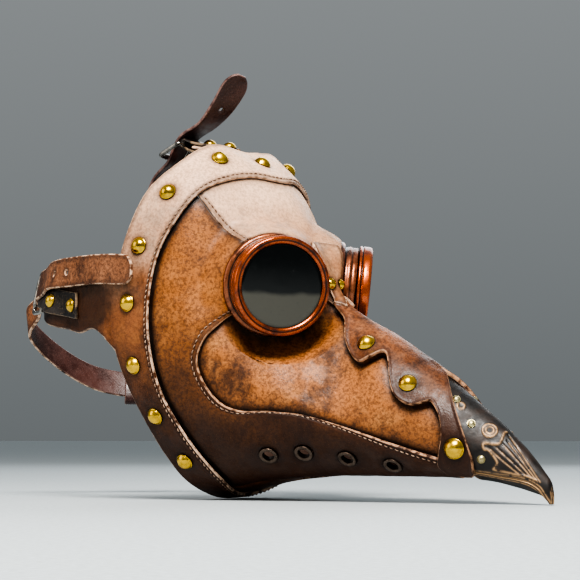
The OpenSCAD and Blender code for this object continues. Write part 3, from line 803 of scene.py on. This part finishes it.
CHEEK = [
    [seam(0), seam(0.7), seam(1.4)], [[TUCK, 3], [1.7, 2.75], [2.4, 2.5]],
    [[TUCK, 4], [1.65, 3.6], [2.4, 3.1]],
    [[TUCK, 5], [2.08, 4.6]], [[TUCK, 6], [1.9, 5.45]], [[TUCK, 7], [2, 6.05]],
    [[TUCK, 7.8], [2.3, 6.15]], [[0.95, JAW], [2.7, 5.8]], [[1.7, JAW], [3.1, 5.35]],
    [[2.6, JAW], [3.6, 5.2]], [[3.5, JAW], [4.1, 5.4]], [[4.3, JAW], [4.5, 5.95]],
    [[4.78, JAW], [4.78, 6.5]],
]
BEAK_SIDE = [
    [[1.75, 5.4], [2.9, 0]], [[1.9, 6.4], [3.2, 0]], [[2.6, 6.4], [3.5, 0]],
    [[3.3, 6], [3.9, 0]], [[3.9, 6], [4.2, 0]], [[4.4, 6.5], [4.5, 0]],
    [[4.8, 7.1], [4.8, 0]], [[5.15, 7.7], [5.15, 0]],
]
RIDGE = [
    [[2.98, 1], [2.98, 0]], [[3.2, 1.3], [3.2, 0]], [[3.36, 2.3], [3.4, 0]],
    [[3.6, 2.7], [3.65, 0]], [[3.82, 2.2], [3.85, 0]], [[4, 1.65], [4.05, 0]],
    [[4.12, 2.1], [4.22, 0]], [[4.25, 3.2], [4.4, 0]], [[4.5, 3.5], [4.7, 0]],
    [[4.75, 3.2], [4.95, 0]], [[4.86, 3.1], [5.18, 0.9]], [[4.95, 3.7], [5.34, 2.4]],
    [[4.9, 4.6], [5.42, 3.9]], [[4.76, 5.6], [5.38, 5.4]], [[4.64, 6.6], [5.22, 6.6]],
    [[4.7, 7.4], [5.08, 7.4]],
]
BRIDGE = [
    [[2.05, 0.42], [2.05, -0.42]], [[2.4, 0.5], [2.4, -0.5]], [[2.75, 0.6], [2.75, -0.6]],
    [[2.96, 0.9], [2.96, -0.9]],
]
RIDGE_SPOTS = [[3.68, 1.75], [4.48, 2.6]]
STUDS = [[5.42, 1.9], [5.72, 3.1], [5.6, 5.5]]
COLLAR_SPOT = [5.06, 5.25]
BRIDGE_SPOT = [2.7, 0.36]


def lay_stitches(name, line, sign, h):
    """Stitches along a line of s and t."""
    thing = stitches(name, on_side(line, sign, h + 0.05), outward(line[0], line[1] * sign))
    extra(thing, "mask")


def forehead():
    """The panel between the two seams, from the rim band to the ridge strip."""
    s, t, quads = panel_grid(SEAM_STATIONS)
    lines = [near_edge(SEAM_STATIONS, edge, SEAM_INSET) for edge in (0, 2)]
    bridge_edge = [near_edge(BRIDGE, edge, 0) for edge in (0, 2)]

    def edit(marks, edge):
        for line in lines:
            marks.groove(at(*line, MIDDLE), 0.5, 0.9, 0.5)
        # painted shade along the edges of the nose bridge strip that lies on the forehead
        for line in bridge_edge:
            marks.darken_near(at(*line, MIDDLE), 0, 1.6, 0.85)
        # painted shadow along the rim band's front edge
        marks.darken_near(at(np.full(90, 1.02), np.linspace(-3, 3, 90), MIDDLE), 0, 2.6, 0.85)

    panel("forehead", s, t, MIDDLE, cut_holes(s, t, MIDDLE, quads), BROW, edit, "forehead_panel")
    for side, sign in SIDES:
        line = near_edge(SEAM_STATIONS, 0 if sign > 0 else 2, SEAM_INSET, 0.25, 1.75)
        lay_stitches(f"forehead_stitches_{side}", line, 1, MIDDLE)


def cheek(side, sign):
    """The panel from the rim band down along the jaw, with a sewn front edge and vents."""
    s, t, quads = panel_grid(CHEEK)
    t = t * sign
    vents = [at(v[0], v[1] * sign, MIDDLE) for v in VENTS]
    front = near_edge(CHEEK, 2, 3.0, 2.2)
    rim = np.linspace(2.2, 8.6, 200)

    def edit(marks, edge):
        marks.groove(on_side(front, sign, MIDDLE), 0.6, 0.9, 0.55)
        marks.groove(on_side(near_edge(CHEEK, 2, 8.0, 2.5), sign, MIDDLE), -0.8, 5.0)
        band = at(np.full(200, 1.03), rim * sign, MIDDLE)
        # painted shadow along the rim band's front edge
        marks.darken_near(band, 1.2, 2.6, 0.97)
        # painted shade on the cheek side of the forehead seam
        marks.darken_near(on_side(near_edge(SEAM_STATIONS, 0, 0), sign, MIDDLE), 1.0, 4.5, 0.65)
        marks.groove(band, 0.8, 3.0)
        for vent in vents:
            # darkened round each vent eyelet
            marks.darken_near(vent, 6.0, 2.2, 0.6)
            marks.groove(vent, 0.5, 8.0)

    panel(f"cheek_{side}", s, t, MIDDLE, cut_holes(s, t, MIDDLE, quads, vents), CHEEK_HIDE, edit,
          f"cheek_panel_{side}")
    lay_stitches(f"cheek_stitches_{side}", front, sign, MIDDLE)


def under_eye(sign):
    """A line round the lower half of an eyepiece, along which painted shadow darkens the beak side."""
    down = unit(np.array([0, 0, -1]) + EYE_AXIS[2] * EYE_AXIS)
    aside = np.cross(EYE_AXIS, down)
    a = np.radians(np.linspace(-62, 62, 60))[:, None]
    ring = EYE_SEAT + BOTTOM * EYE_AXIS + FLAT_R * (np.cos(a) * down + np.sin(a) * aside)
    return ring * np.array([1, sign, 1])


def beak_side(side, sign):
    """The bottom-layer panel of a side, with painted shade along the edges that lie on it and under its
    eyepiece.
    """
    s, t, quads = panel_grid(BEAK_SIDE)
    t = t * sign

    def edit(marks, edge):
        # painted shade along the cheek and ridge strip edges that lie on this panel
        for line, grime_shade_wear in ((near_edge(CHEEK, 2, 0, 2.0), 0.95), (near_edge(RIDGE, 0, 0), 0.9)):
            path = on_side(line, sign, BOTTOM)
            marks.darken_near(path, 0.8, 2.6, grime_shade_wear)
            marks.groove(path, 0.6, 3.0)
        # painted shadow under the eyepiece
        marks.darken_near(under_eye(sign), 3, 6.5, 0.9)

    panel(f"beak_side_{side}", s, t, BOTTOM, cut_holes(s, t, BOTTOM, quads), BEAK_HIDE, edit,
          lumps=((22, 0.5), (6, 0.15)))


def underside():
    """The strip under the jaw. Near the chin it rises flush between the cheek panels."""
    rows, columns = 120, 90
    s, q = np.meshgrid(np.linspace(0.72, 5.42, rows), np.linspace(-1.15, 1.15, columns), indexing="ij")
    t = np.where(q < 0, -CHIN - q, CHIN - q)
    flush = smooth((np.abs(t) - 8.5) / 0.15) * smooth((2.6 - s) / 1.2)
    panel("beak_underside", s, t, BOTTOM + 2.6 * flush, grid_quads(rows, columns), BEAK_HIDE)


def nose_bridge():
    """A strip whose front end is cut in points and lifts over the ridge strip."""
    s, t, quads = panel_grid(BRIDGE, 1.0)
    s = s + 0.17 * smooth((s - 2.7) / 0.25) * (1 - np.abs(2 * ((np.abs(t) / 0.9) % 1) - 1)) ** 0.8
    lift = 1.56 * smooth((s - 2.9) / 0.1)

    def edit(marks, edge):
        for side in (0, 2):
            marks.groove(at(*near_edge(BRIDGE, side, 2.4), TOP), 0.35, 0.7, 0.4)
        # darkened round the rivets: grime, and painted contact shade
        for s, t in both([BRIDGE_SPOT]):
            marks.darken_near(at(s, t, TOP), 3.4, 1.2, 0.8)

    panel("nose_bridge", s, t, TOP + lift, quads, BROW, edit, "nose_bridge_strip")


def ridge():
    """Both halves of the strip, welded along the crown."""
    s, t, quads = panel_grid(RIDGE, 1.2)
    points, toward, faces = [], [], []
    for _, sign in SIDES:
        faces.append(quads + len(faces) * s.size)
        points.append(at(s, t * sign, TOP).reshape(-1, 3))
        toward.append(outward(s, t * sign).reshape(-1, 3))
    points, toward = np.concatenate(points), np.concatenate(toward)
    faces[0] = faces[0][:, ::-1]
    _, first, same = np.unique(np.round(points / 0.02).astype(int), axis=0,
                               return_index=True, return_inverse=True)
    faces = same.reshape(-1)[np.concatenate(faces)]

    def edit(marks, edge):
        marks.height += 0.5 * np.exp(-((edge - 1.0) / 0.9) ** 2)
        # darkened round the rivets and the collar rivets: grime, and painted contact shade
        for s, t in both(RIDGE_SPOTS):
            marks.groove(at(s, t, TOP), 0.6, 7.5)
            marks.darken_near(at(s, t, TOP), 5.6, 1.6, 0.85)
        for s, t in both([COLLAR_SPOT]):
            marks.darken_near(at(s, t, TOP), 6.4, 1.6, 0.85)

    strip = leather("ridge_strip", points[first], faces, [RIDGE_HIDE, LINING], toward[first],
                    edit=edit, lumps=((12, 0.35), (5, 0.12)))
    done(strip, "mask", "brown_leather", "ridge_strip")


# ---- the rim band and its ears
REAR_HINGE = np.array([-155, 50.5, 137])
REAR_TURN, REAR_LEAN = math.radians(210), math.radians(12)
REAR_UP = np.array([-math.sin(REAR_LEAN) * math.sin(REAR_TURN),
                    math.sin(REAR_LEAN) * math.cos(REAR_TURN), math.cos(REAR_LEAN)])
REAR_OUT = np.array([math.cos(REAR_LEAN) * math.sin(REAR_TURN),
                     -math.cos(REAR_LEAN) * math.cos(REAR_TURN), math.sin(REAR_LEAN)])
REAR_ALONG = np.array([math.cos(REAR_TURN), math.sin(REAR_TURN), 0])
TOP_HINGE = np.array([-71, 0, 234.5])
TOP_SLOPE = math.radians(24)
UP, SIDE = np.array([0, 0, 1]), np.array([0, 1, 0])


def rear_spot(x, y, z):
    """A place by the rear buckle, given as if it hung on the left side."""
    return REAR_HINGE + x * REAR_ALONG + y * REAR_OUT + z * REAR_UP


def top_spot(x, y, z=0.0):
    """A place by the top buckle."""
    c, s = math.cos(TOP_SLOPE), math.sin(TOP_SLOPE)
    return TOP_HINGE + np.array([-x * c - y * s, z, y * c - x * s])


# Each ear as stations: a point in its middle, half its width, and the way across it
EAR_RIGHT = [
    [[-74, 83.5, 122], 20, -UP], [[-88, 80, 124.5], 16, -UP], [[-103, 75.5, 124], 17.5, -UP],
    [[-119, 69, 126.5], 17, -UP], [rear_spot(-21, 1.3, -8), 15.5, -REAR_UP],
    [rear_spot(-9, 1.2, -4.5), 11.5, -REAR_UP], [rear_spot(-4, 1.2, -4), 8, -REAR_UP],
]
EAR_LEFT = [
    [[-75, 83, 117], 19, -UP], [[-88, 81, 112], 15.5, -UP], [[-103, 78, 106], 13.5, -UP],
    [[-118, 73, 100], 12.5, -UP], [[-131, 67, 95], 9, -UP],
]
EAR_TOP = [
    [[-37, 0, 227.5], 12, SIDE], [[-47, 0, 229.3], 11.5, SIDE], [[-56, 0, 231], 10.5, SIDE],
    [[-64.5, 0, 233], 8, SIDE],
]


def lists(stations):
    """The three things that each station holds, as three arrays."""
    return [np.array([station[k] for station in stations], float) for k in range(3)]


def ear_point(ear, v, u, h):
    """v along an ear's stations, u across from -1 to 1, h outward from its face."""
    v = np.asarray(v, float)
    middle, half, across = lists(ear)
    across = unit(curve(across, v))
    along = curve(middle, v + 0.1) - curve(middle, v - 0.1)
    out = unit(np.cross(across, along))
    place = curve(middle, v) + across * (u * curve(half, v))[..., None]
    return place + out * h, out


BAND_WIDTH, BAND_FRONT = 46, 1.02  # its width in mm, and s of its front edge
RIM_SEAM, RIM_WELT = 0.955, 0.9  # s of its stitching and of the raised line behind it
RIM_STEPS = 900


def rim_band():
    """The band goes all the way round; each ear grows from part of its back edge."""
    columns = 440
    t = -CHIN + 2 * CHIN * np.arange(columns) / columns
    s_grid, t_grid = np.meshgrid(spread(BAND_WIDTH, 1.5) * BAND_FRONT, t, indexing="ij")
    points = [at(s_grid, t_grid, TOP).reshape(-1, 3)]
    toward = [outward(s_grid, t_grid).reshape(-1, 3)]
    quads = [ring_quads(len(s_grid), columns)[:, [0, 3, 2, 1]]]
    for ear, lo, hi, flip in ((EAR_RIGHT, -5.7, -4.3, MIRROR), (EAR_LEFT, 4.3, 5.7, 1),
                              (EAR_TOP, -0.5, 0.5, 1)):
        chosen = np.where((t >= lo - 0.01) & (t <= hi + 0.01))[0]
        u = np.linspace(-1, 1, len(chosen)) * (-1 if ear is EAR_RIGHT else 1)
        v = spread(run_of(lists(ear)[0])[-1], 1.5) * (len(ear) - 1)
        v_grid, u_grid = np.meshgrid(v, u, indexing="ij")
        place, out = ear_point(ear, v_grid, u_grid, 0)
        start = sum(len(p) for p in points)
        points.append((place * flip).reshape(-1, 3))
        toward.append((out * flip).reshape(-1, 3))
        ids = np.concatenate([[chosen], start + np.arange(u_grid.size).reshape(u_grid.shape)])
        quads.append(np.stack([ids[1:, :-1], ids[:-1, :-1], ids[:-1, 1:], ids[1:, 1:]],
                              axis=-1).reshape(-1, 4))
    front = np.linspace(-CHIN, CHIN, RIM_STEPS)
    seam_line = (np.full(RIM_STEPS, RIM_SEAM), front)

    def edit(marks, edge):
        marks.groove(at(*seam_line, TOP), 0.45, 0.8, 0.5)
        marks.groove(at(np.full(RIM_STEPS, RIM_WELT), front, TOP), -0.3, 1.0)
        # darkened round the rivets: grime, and painted contact shade
        for s, t in RIM_SPOTS:
            rivet = at(s, t, TOP)
            marks.darken_near(rivet, 5.5, 1.6, 0.75)
            marks.groove(rivet, 0.3, 7.0)
        # painted shadow of the rear strap over the right ear
        shaded, _ = ear_point(EAR_RIGHT, np.linspace(0.7, 6, 60), np.zeros(60), 0)
        marks.darken_near(shaded * MIRROR, 13, 5, 0.8)

    band = leather("rim_band", np.concatenate(points), np.concatenate(quads), [BAND, LINING],
                   np.concatenate(toward), edit=edit)
    done(band, "mask", "tan_leather", "rim_band")
    lay_stitches("rim_stitches", seam_line, 1, TOP)


# ---- the moulded tip
TIP_BACK = 5.0  # s of its back edge, under the collar
LOWER_END = 7.78  # s where the lower plate ends
OFF_FLOOR = 0.6  # least height of the shell's outer face


def tip_height(s):
    """The shell lies under the collar and comes up to the surface at the point."""
    return MIDDLE + 2.4 * smooth((s - 6.8) / 1.2)


def split(s):
    """t where the upper shell meets the lower plate."""
    return 7.2 - 1.5 * smooth((s - 5) / 2.7) + 3.2 * smooth((s - 7.45) / 0.4)


def polyline(corners, steps=40):
    """A smooth line through a few places on the skin."""
    corners = np.array(corners, float)
    return curve(corners, np.linspace(0, len(corners) - 1, steps * (len(corners) - 1)))


SCROLL = [[6.74, 1.15], [6.44, 3.25], [5.94, 4.0], [5.86, 4.45], [6.0, 4.45], [6.08, 5.2], [5.8, 6.15]]
SWEEP = [[5.8, 6.15], [6.62, 5.6], [7.5, 4.45]]
FEATHERS = [[[6.0, 4.15], [6.6, 5.3]], [[6.22, 3.75], [6.96, 5.0]], [[6.5, 3.15], [7.3, 4.65]],
            [[6.72, 2.4], [7.5, 4.3]], [[6.8, 1.3], [7.65, 3.9]]]
RINGED = [[5.52, 2.2, 2.2], [6.22, 2.65, 4.2], [6.22, 2.65, 2.4]]


def tip_relief(marks, edge):
    """Raised scrolls and rings, and feathers cut in with a raised line beside each."""
    lines = [(SCROLL, -0.5, 0.6, 0.9, 0), (SWEEP, -0.45, 0.6, 0.9, 0)]
    lines += [(feather, 0.55, 0.55, 0, 0) for feather in FEATHERS]
    lines += [(feather, -0.2, 0.45, 0.75, (0.05, 0.16)) for feather in FEATHERS]
    for _, sign in SIDES:
        for line, depth, width, grime_shade_wear, shift in lines:
            p = (polyline(line) + shift).T
            marks.groove(on_side(p, sign, tip_height(p[0])), depth, width, grime_shade_wear)
        for s, t, radius in RINGED:
            middle = at(s, t * sign, tip_height(np.array(s)))
            ring = np.exp(-((norm(marks.points - middle) - radius) / 0.5) ** 2)
            marks.height += 0.45 * ring
            marks.grime_shade_wear = np.maximum(marks.grime_shade_wear, 0.9 * ring)
    marks.grime_shade_wear = np.maximum(marks.grime_shade_wear, 0.8 * np.exp(-((edge - 1.6) / 0.4) ** 2))


def shell(name, t_of, end):
    """A tip plate: t_of gives t from s and a value from -1 to 1 across it. The one that
    reaches the end of the beak is closed there by a rounded nib."""
    s, u = np.meshgrid(np.linspace(TIP_BACK, end, 150), np.linspace(-1, 1, 120), indexing="ij")
    t = t_of(s, u)
    points, toward = at(s, t, tip_height(s)), outward(s, t)
    if end == TIP:
        middle = points[-1].mean(axis=0)
        nib = [middle + (points[-1] - middle) * f + np.array([x, 0, -0.4 * x])
               for f, x in ((0.85, 0.7), (0.6, 1.2), (0.3, 1.5), (0.05, 1.6))]
        points = np.concatenate([points, nib])
        toward = np.concatenate([toward, np.repeat(toward[-1:], len(nib), axis=0)])
    points[..., 2] = np.maximum(points[..., 2], OFF_FLOOR)
    plate = leather(name, points, grid_quads(*points.shape[:2]), [SHELL], toward, thick=0.9,
                    edit=tip_relief, rounding=0.6, lumps=((9, 0.1),))
    done(plate, "mask", "bronzed_tip", name)


def lower_t(s, u):
    """t across the lower plate, which spans the keel."""
    return np.where(u < 0, -CHIN, CHIN) - u * (CHIN - split(s))


def tip():
    """The two plates meet with a gap of 0.06 in t."""
    shell("beak_tip_upper", lambda s, u: u * np.minimum(split(s) - 0.06, CHIN), TIP)
    shell("beak_tip_lower", lower_t, LOWER_END)


# ---- eyepieces
def eyepiece(side, sign):
    """Turned parts, and materials for the clamp and gasket, which stay as the CAD has them."""
    base = [
        (32.5, 0, 0.9), (32.6, 0.6, 0.6), (32.2, 1.8), (31.6, 2.6), (30.6, 3.0), (29.8, 3.1, 0.9),
        (29.5, 3.6, 1.0), (29.5, 5), (29.9, 5.6), (29.9, 7), (29.4, 7.6, 0.8), (29.4, 9), (29.5, 11.2),
        (29, 11.5, 0.7), (28.05, 11.6, 1.0), (28, 16), (24.2, 16), (24, -7.5, 0.9), (26, -7.5, 0.9),
        (26, 0, 0.9), (32.5, 0, 0.9),
    ]
    bezel = [
        (28.15, 12.3, 0.9), (30.6, 12.3, 0.7), (31, 12.8), (31, 14), (30.5, 14.3, 1.0), (30.5, 14.8, 1.0),
        (31, 15.1), (31, 17), (31, 18.8), (30.8, 19.8), (30.1, 20.6), (29.2, 20.9), (28.6, 20.8, 0.8),
        (28.2, 20.4, 1.0), (27.8, 20.6, 0.5), (27.2, 20.5), (26.4, 20.0), (26, 19.5), (25.95, 19.2, 1.0),
        (28.15, 19.2, 1.0), (28.15, 12.3, 0.9),
    ]
    lens = [(27.8, 17.0), (27.8, 19.0), (24, 19.15), (18, 19.4), (12, 19.55), (6, 19.65), (0.01, 19.7)]
    flip = np.array([1, sign, 1])
    spot = place_frames([((EYE_SEAT + MIDDLE * EYE_AXIS) * flip, EYE_AXIS * flip)])
    for part, profile, steps, material, body, slot in (
            ("base", base, 128, OLD_COPPER, "mask", "antique_copper"),
            ("bezel", bezel, 128, COPPER, f"bezel_{side}", "antique_copper"),
            ("lens", lens, 96, GLASS, f"lens_unit_{side}", "dark_lens")):
        thing = repeat_at(f"eye_{part}_{side}", lathe(profile, steps), spot, material)
        done(thing, body, slot, f"eyepiece_{part}_{side}")
    for node, material in ((f"eyepiece_clamp_{side}", STEEL), (f"eyepiece_gasket_{side}", RUBBER)):
        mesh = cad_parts[node].data
        mesh.materials.clear()
        mesh.materials.append(material)


# ---- rivets and vents
def dome(d):
    """A domed rivet head, dark where it meets the leather."""
    rise = 0.36 * d
    ball = (d * d / 4 + rise * rise) / (2 * rise)
    steep = math.asin(d / 2 / ball)
    rows = [(d / 2 - 0.1, -0.9, 1.0), (d / 2, 0.15, 0.9), (d / 2 + 0.05, 0.45, 0.4)]
    for k in range(1, 15):
        a = steep * (1 - k / 14)
        rows.append((max(ball * math.sin(a), 0.01), rise - ball + ball * math.cos(a), 0.0))
    return lathe(rows, 40)


def skin_spots(spots, h):
    """Frames standing on the skin at places given as [s, t]."""
    return place_frames([(at(s, t, h), outward(s, t)) for s, t in spots])


def rivets():
    """The domed rivets on the leather, and the studs on the tip."""
    for name, d, spots, h, material in (
            ("rim_rivets", 11, RIM_SPOTS, TOP, BRASS),
            ("ridge_rivets", 11, both(RIDGE_SPOTS), TOP - 0.3, BRASS),
            ("collar_rivets", 12.5, both([COLLAR_SPOT]), TOP, BRASS),
            ("bridge_rivets", 7, both([BRIDGE_SPOT]), TOP, BRASS),
            ("tip_studs", 5, both(STUDS), MIDDLE, PALE_BRASS)):
        done(repeat_at(name, dome(d), skin_spots(spots, h), material), "mask", "brass", name)


def ear_rivets(name, ear, places, h, side):
    """Rivets along the middle of an ear. h is their height over its face."""
    place, out = ear_point(ear, np.array(places), 0, h)
    flip = np.array([1, side, 1])
    frames = place_frames(zip(place * flip, out * flip))
    done(repeat_at(name, dome(9), frames, BRASS), "mask", "brass", name)


def vent_eyelets(side, sign):
    """Rolled metal rings that line the vents."""
    ring = [(5.8, -0.3, 0.9), (6.0, 0.3), (5.7, 0.75), (5.0, 0.95), (4.3, 0.9), (3.8, 0.6), (3.5, 0.1, 0.3),
            (3.5, -3.0, 0.9), (4.4, -3.0, 0.9), (4.4, -0.3, 0.9), (5.8, -0.3, 0.9)]
    spots = [[s, t * sign] for s, t in VENTS]
    thing = repeat_at(f"vents_{side}", lathe(ring, 48), skin_spots(spots, MIDDLE), EYELET)
    done(thing, "mask", "eyelet_metal", f"vent_eyelets_{side}")


# ---- buckles
WIRE_R = 1.5


def tube(path, radius, closed=False, sides=14):
    """A round wire along a path."""
    path = np.asarray(path, float)
    ahead = np.roll(path, -1, axis=0) - np.roll(path, 1, axis=0)
    if not closed:
        ahead[0], ahead[-1] = path[1] - path[0], path[-1] - path[-2]
    ahead = unit(ahead)
    radius = np.broadcast_to(np.asarray(radius, float), (len(path),))
    aid = np.array([0.31, 0.87, 0.38])
    side_dir = unit(np.cross(ahead, aid))
    other = np.cross(ahead, side_dir)
    a = np.arange(sides) * 2 * math.pi / sides
    ring = np.cos(a)[None, :, None] * side_dir[:, None] + np.sin(a)[None, :, None] * other[:, None]
    points = path[:, None] + ring * radius[:, None, None]
    return points.reshape(-1, 3), ring_quads(len(path), sides, closed)


def wire(which, part, pieces):
    """A piece of a buckle, made of tubes."""
    thing = add_mesh(f"{which}_{part}", *joined(pieces), [STEEL])
    done(thing, f"{which}_{part}", "dark_steel", f"{which}_buckle_{part}")


def buckle(which, spot):
    """A bent wire frame with a roller, and the prong on its hinge bar. spot maps
    x along the strap, y outward and z along the bar."""
    half, length, corner = 14.0, 18.0, 3.0
    outline = []
    for cx, cz, start in ((corner, corner - half, 180), (length - corner, corner - half, 270),
                          (length - corner, half - corner, 0), (corner, half - corner, 90)):
        for k in range(9):
            a = math.radians(start + 90 * k / 8)
            outline.append(spot(cx + corner * math.cos(a), 0, cz + corner * math.sin(a)))
    bar = [spot(0, 0, z) for z in np.linspace(-half, half, 12)]
    roller = [spot(length, 0, z) for z in np.linspace(-9.5, 9.5, 14)]
    sizes = 2.0 - 0.45 * (np.abs(np.linspace(-1, 1, 14)) > 0.95)
    wire(which, "frame", [tube(outline, WIRE_R, closed=True), tube(bar, 1.3), tube(roller, sizes)])
    drop = math.radians(30)
    eye = [spot(2.4 * math.cos(a), 2.4 * math.sin(a), 0) for a in np.linspace(0, 2 * math.pi, 24)[:-1]]
    x = np.concatenate([np.linspace(2.4, 18.2, 16), [18.8, 19.2, 19.4]])
    rod = [spot(d * math.cos(drop), -d * math.sin(drop), 0) for d in x]
    sizes = np.concatenate([np.linspace(1.15, 1.0, 16), [0.85, 0.5, 0.05]])
    wire(which, "prong", [tube(eye, 0.85, closed=True), tube(rod, sizes)])


def flipped(x, y, z):
    """A place by the rear buckle, on the side where it is."""
    return rear_spot(x, y, z) * MIRROR


# ---- straps and buckle tabs
# Half width and thickness. Stations hold a middle point, the way across, and a half width.
STRAP, STRAP_THICK = 9.5, 2.2
TAB, TAB_THICK = 8.5, 1.8
TAB_GAP = 0.7


def rear_station(x, y, z):
    return [flipped(x, y, z), REAR_UP * MIRROR, STRAP]


LOOP_MID = np.array([-162, 54, 77])
LOOP_UP = unit([-0.27, 0.36, 0.9])
LOOP_OUT = unit([-0.6, 0.67, -0.45])


def loop_station(h, out):
    """A station of the loop that the top strap makes round the rear strap."""
    return [LOOP_MID + h * LOOP_UP + out * LOOP_OUT, [0.73, 0.68, 0], STRAP]


REAR_STRAP = [
    [[-47.5, -88.5, 144], UP, 3.5], [[-50, -88.3, 144.2], UP, 7.5], [[-56, -87.7, 144.6], UP, STRAP],
    [[-81, -84.5, 146], UP, STRAP], [[-108, -78, 146], UP, STRAP],
    rear_station(-28, 6.5, 7.5), rear_station(-12, 5.2, 4.5), rear_station(0, 4.8, 2.5),
    rear_station(9, 1.2, 1), rear_station(18, -3.8, -1), rear_station(28, -7, -6),
    [[-195, -24, 117], [-0.15, 0, 1], STRAP], [[-195, 2, 98], [-0.3, 0.1, 1], STRAP],
    [[-183, 30, 82], [-0.4, 0.3, 1], STRAP], [[-162, 54, 77], [-0.3, 0.4, 1], STRAP],
    [[-142, 68, 84], [-0.2, 0.3, 1], STRAP], [[-125, 74, 96], [0, 0.1, 1], STRAP],
    [[-108, 79.5, 104.5], [0, 0, 1], STRAP], [[-102, 81.3, 107], [0, 0, 1], 7],
]
TOP_STRAP = [
    [[-29, 0, 277], [0.25, 1, -0.25], 3], [[-31.5, 0, 274.5], [0.25, 1, -0.25], 7],
    [[-36, 0, 269], [0.25, 1, -0.25], STRAP], [[-46, 0, 257], [0.15, 1, -0.15], STRAP],
    [[-58, 0, 247], SIDE, STRAP], [top_spot(-1, 6), SIDE, STRAP],
    [top_spot(8, 1.9), SIDE, STRAP], [top_spot(17, -5), SIDE, STRAP],
    [[-99, 2, 212], [0, 1, 0], STRAP], [[-114, 8, 190], [-0.1, 1, 0], STRAP],
    [[-130, 21, 158], [0.2, 1, 0], STRAP], [[-144, 36, 128], [0.6, 0.8, 0], STRAP],
    loop_station(24, 1.6), loop_station(12, 3.8), loop_station(0, 4.3),
    loop_station(-12.5, 2.6), loop_station(-12.5, -2.6), loop_station(0, -4.3),
    loop_station(12, -3.8), loop_station(24, -1.8), loop_station(31, -1.6),
]


def strap(name, stations, thick, materials, slot, node, holes=()):
    """A flat strip along stations, with round holes punched at distances from its start."""
    middle, across, half = lists(stations)
    fine = np.linspace(0, len(stations) - 1, 1200)
    run = run_of(curve(middle, fine))
    a = spread(run[-1], 1.1, (0.15, 0.4, 0.8)) * run[-1]
    b = spread(2 * half.max(), 1.1, (0.15, 0.4, 0.8)) * 2 - 1
    a, b = np.meshgrid(a, b, indexing="ij")
    widest = half.max()
    quads = grid_quads(*a.shape)
    a, b = a.ravel().copy(), b.ravel().copy()
    for hole in holes:
        d = np.hypot(a[quads].mean(axis=1) - hole, b[quads].mean(axis=1) * widest)
        quads = quads[d > 1.3]
        reach = np.hypot(a - hole, b * widest)
        close = (reach < 2.4) & (reach > 0.1)
        pull = np.where(close, 1.6 + (reach - 1.3) * 0.5, reach) / np.maximum(reach, 0.1)
        a, b = hole + (a - hole) * pull, b * pull
    v = np.interp(a, run, fine)
    w = unit(curve(across, v))
    along = curve(middle, v + 0.05) - curve(middle, v - 0.05)
    n = unit(np.cross(w, along))
    points = curve(middle, v) + w * (b * curve(half, v))[:, None] + n * thick / 2
    piece = leather(name, points, quads, materials, n, thick, rounding=0.7, lumps=((14, 0.15), (4, 0.06)))
    done(piece, "mask", slot, node)


def fold(start):
    """The turn of a tab round its hinge bar."""
    reach = WIRE_R + TAB_THICK / 2 + 0.3
    angles = np.radians(start - 45 * np.arange(5))
    return [(reach * math.cos(a), reach * math.sin(a)) for a in angles]


def tab_stations(ear, rows, turn, side):
    """A tab lying on an ear, round its buckle's bar, and back under the ear."""
    over = TAB_THICK / 2 + TAB_GAP
    flip = np.array([1, side, 1])

    def on_ear(v, h):
        p, _ = ear_point(ear, float(v), np.array(0.0), h)
        across = curve(lists(ear)[2], float(v))
        return [p * flip, across * flip * side, TAB]

    return ([on_ear(v, over) for v in rows] + turn
            + [on_ear(v, -LEATHER - over) for v in reversed(rows[1:])])


def straps():
    """Both straps, and the tabs that hold their buckles."""
    outer = [STRAP_OUT, STRAP_IN]
    strap("rear_strap", REAR_STRAP, STRAP_THICK, outer, "dark_strap_leather", "rear_strap",
          holes=(66, 83, 117))
    strap("top_strap", TOP_STRAP, STRAP_THICK, [STRAP_IN], "dark_strap_leather", "top_strap",
          holes=(27,))
    turn = [[flipped(x, y, -3.2), REAR_UP * MIRROR, TAB] for x, y in fold(90)]
    strap("rear_tab", tab_stations(EAR_RIGHT, [2, 3, 4, 5], turn, -1), TAB_THICK, [TAB_HIDE],
          "black_tab_leather", "rear_buckle_tab")
    turn = [[top_spot(x, y), SIDE, TAB] for x, y in fold(90 + math.degrees(TOP_SLOPE))]
    strap("top_tab", tab_stations(EAR_TOP, [0, 1, 2, 3], turn, 1), TAB_THICK, [TAB_HIDE],
          "black_tab_leather", "top_buckle_tab")


def floor():
    mesh = bpy.data.meshes.new("floor")
    mesh.from_pydata([(-60, -60, 0), (60, -60, 0), (60, 60, 0), (-60, 60, 0)], [], [(0, 1, 2, 3)])
    thing = bpy.data.objects.new("floor", mesh)
    mesh.materials.append(matte("floor_paper", (0.33, 0.36, 0.37), 0.75))
    scene.collection.objects.link(thing)


rim_band()
forehead()
underside()
nose_bridge()
ridge()
tip()
for side, sign in SIDES:
    cheek(side, sign)
    beak_side(side, sign)
    eyepiece(side, sign)
    vent_eyelets(side, sign)
rivets()
ear_rivets("rear_tab_rivets", EAR_RIGHT, (2.4, 3.8), TAB_THICK + TAB_GAP, -1)
ear_rivets("far_ear_rivets", EAR_LEFT, (2.15, 3.2), STRAP_THICK + 0.4, 1)
ear_rivets("top_tab_rivets", EAR_TOP, (0.25, 2.0), TAB_THICK + TAB_GAP, 1)
buckle("rear", flipped)
buckle("top", top_spot)
straps()
floor()
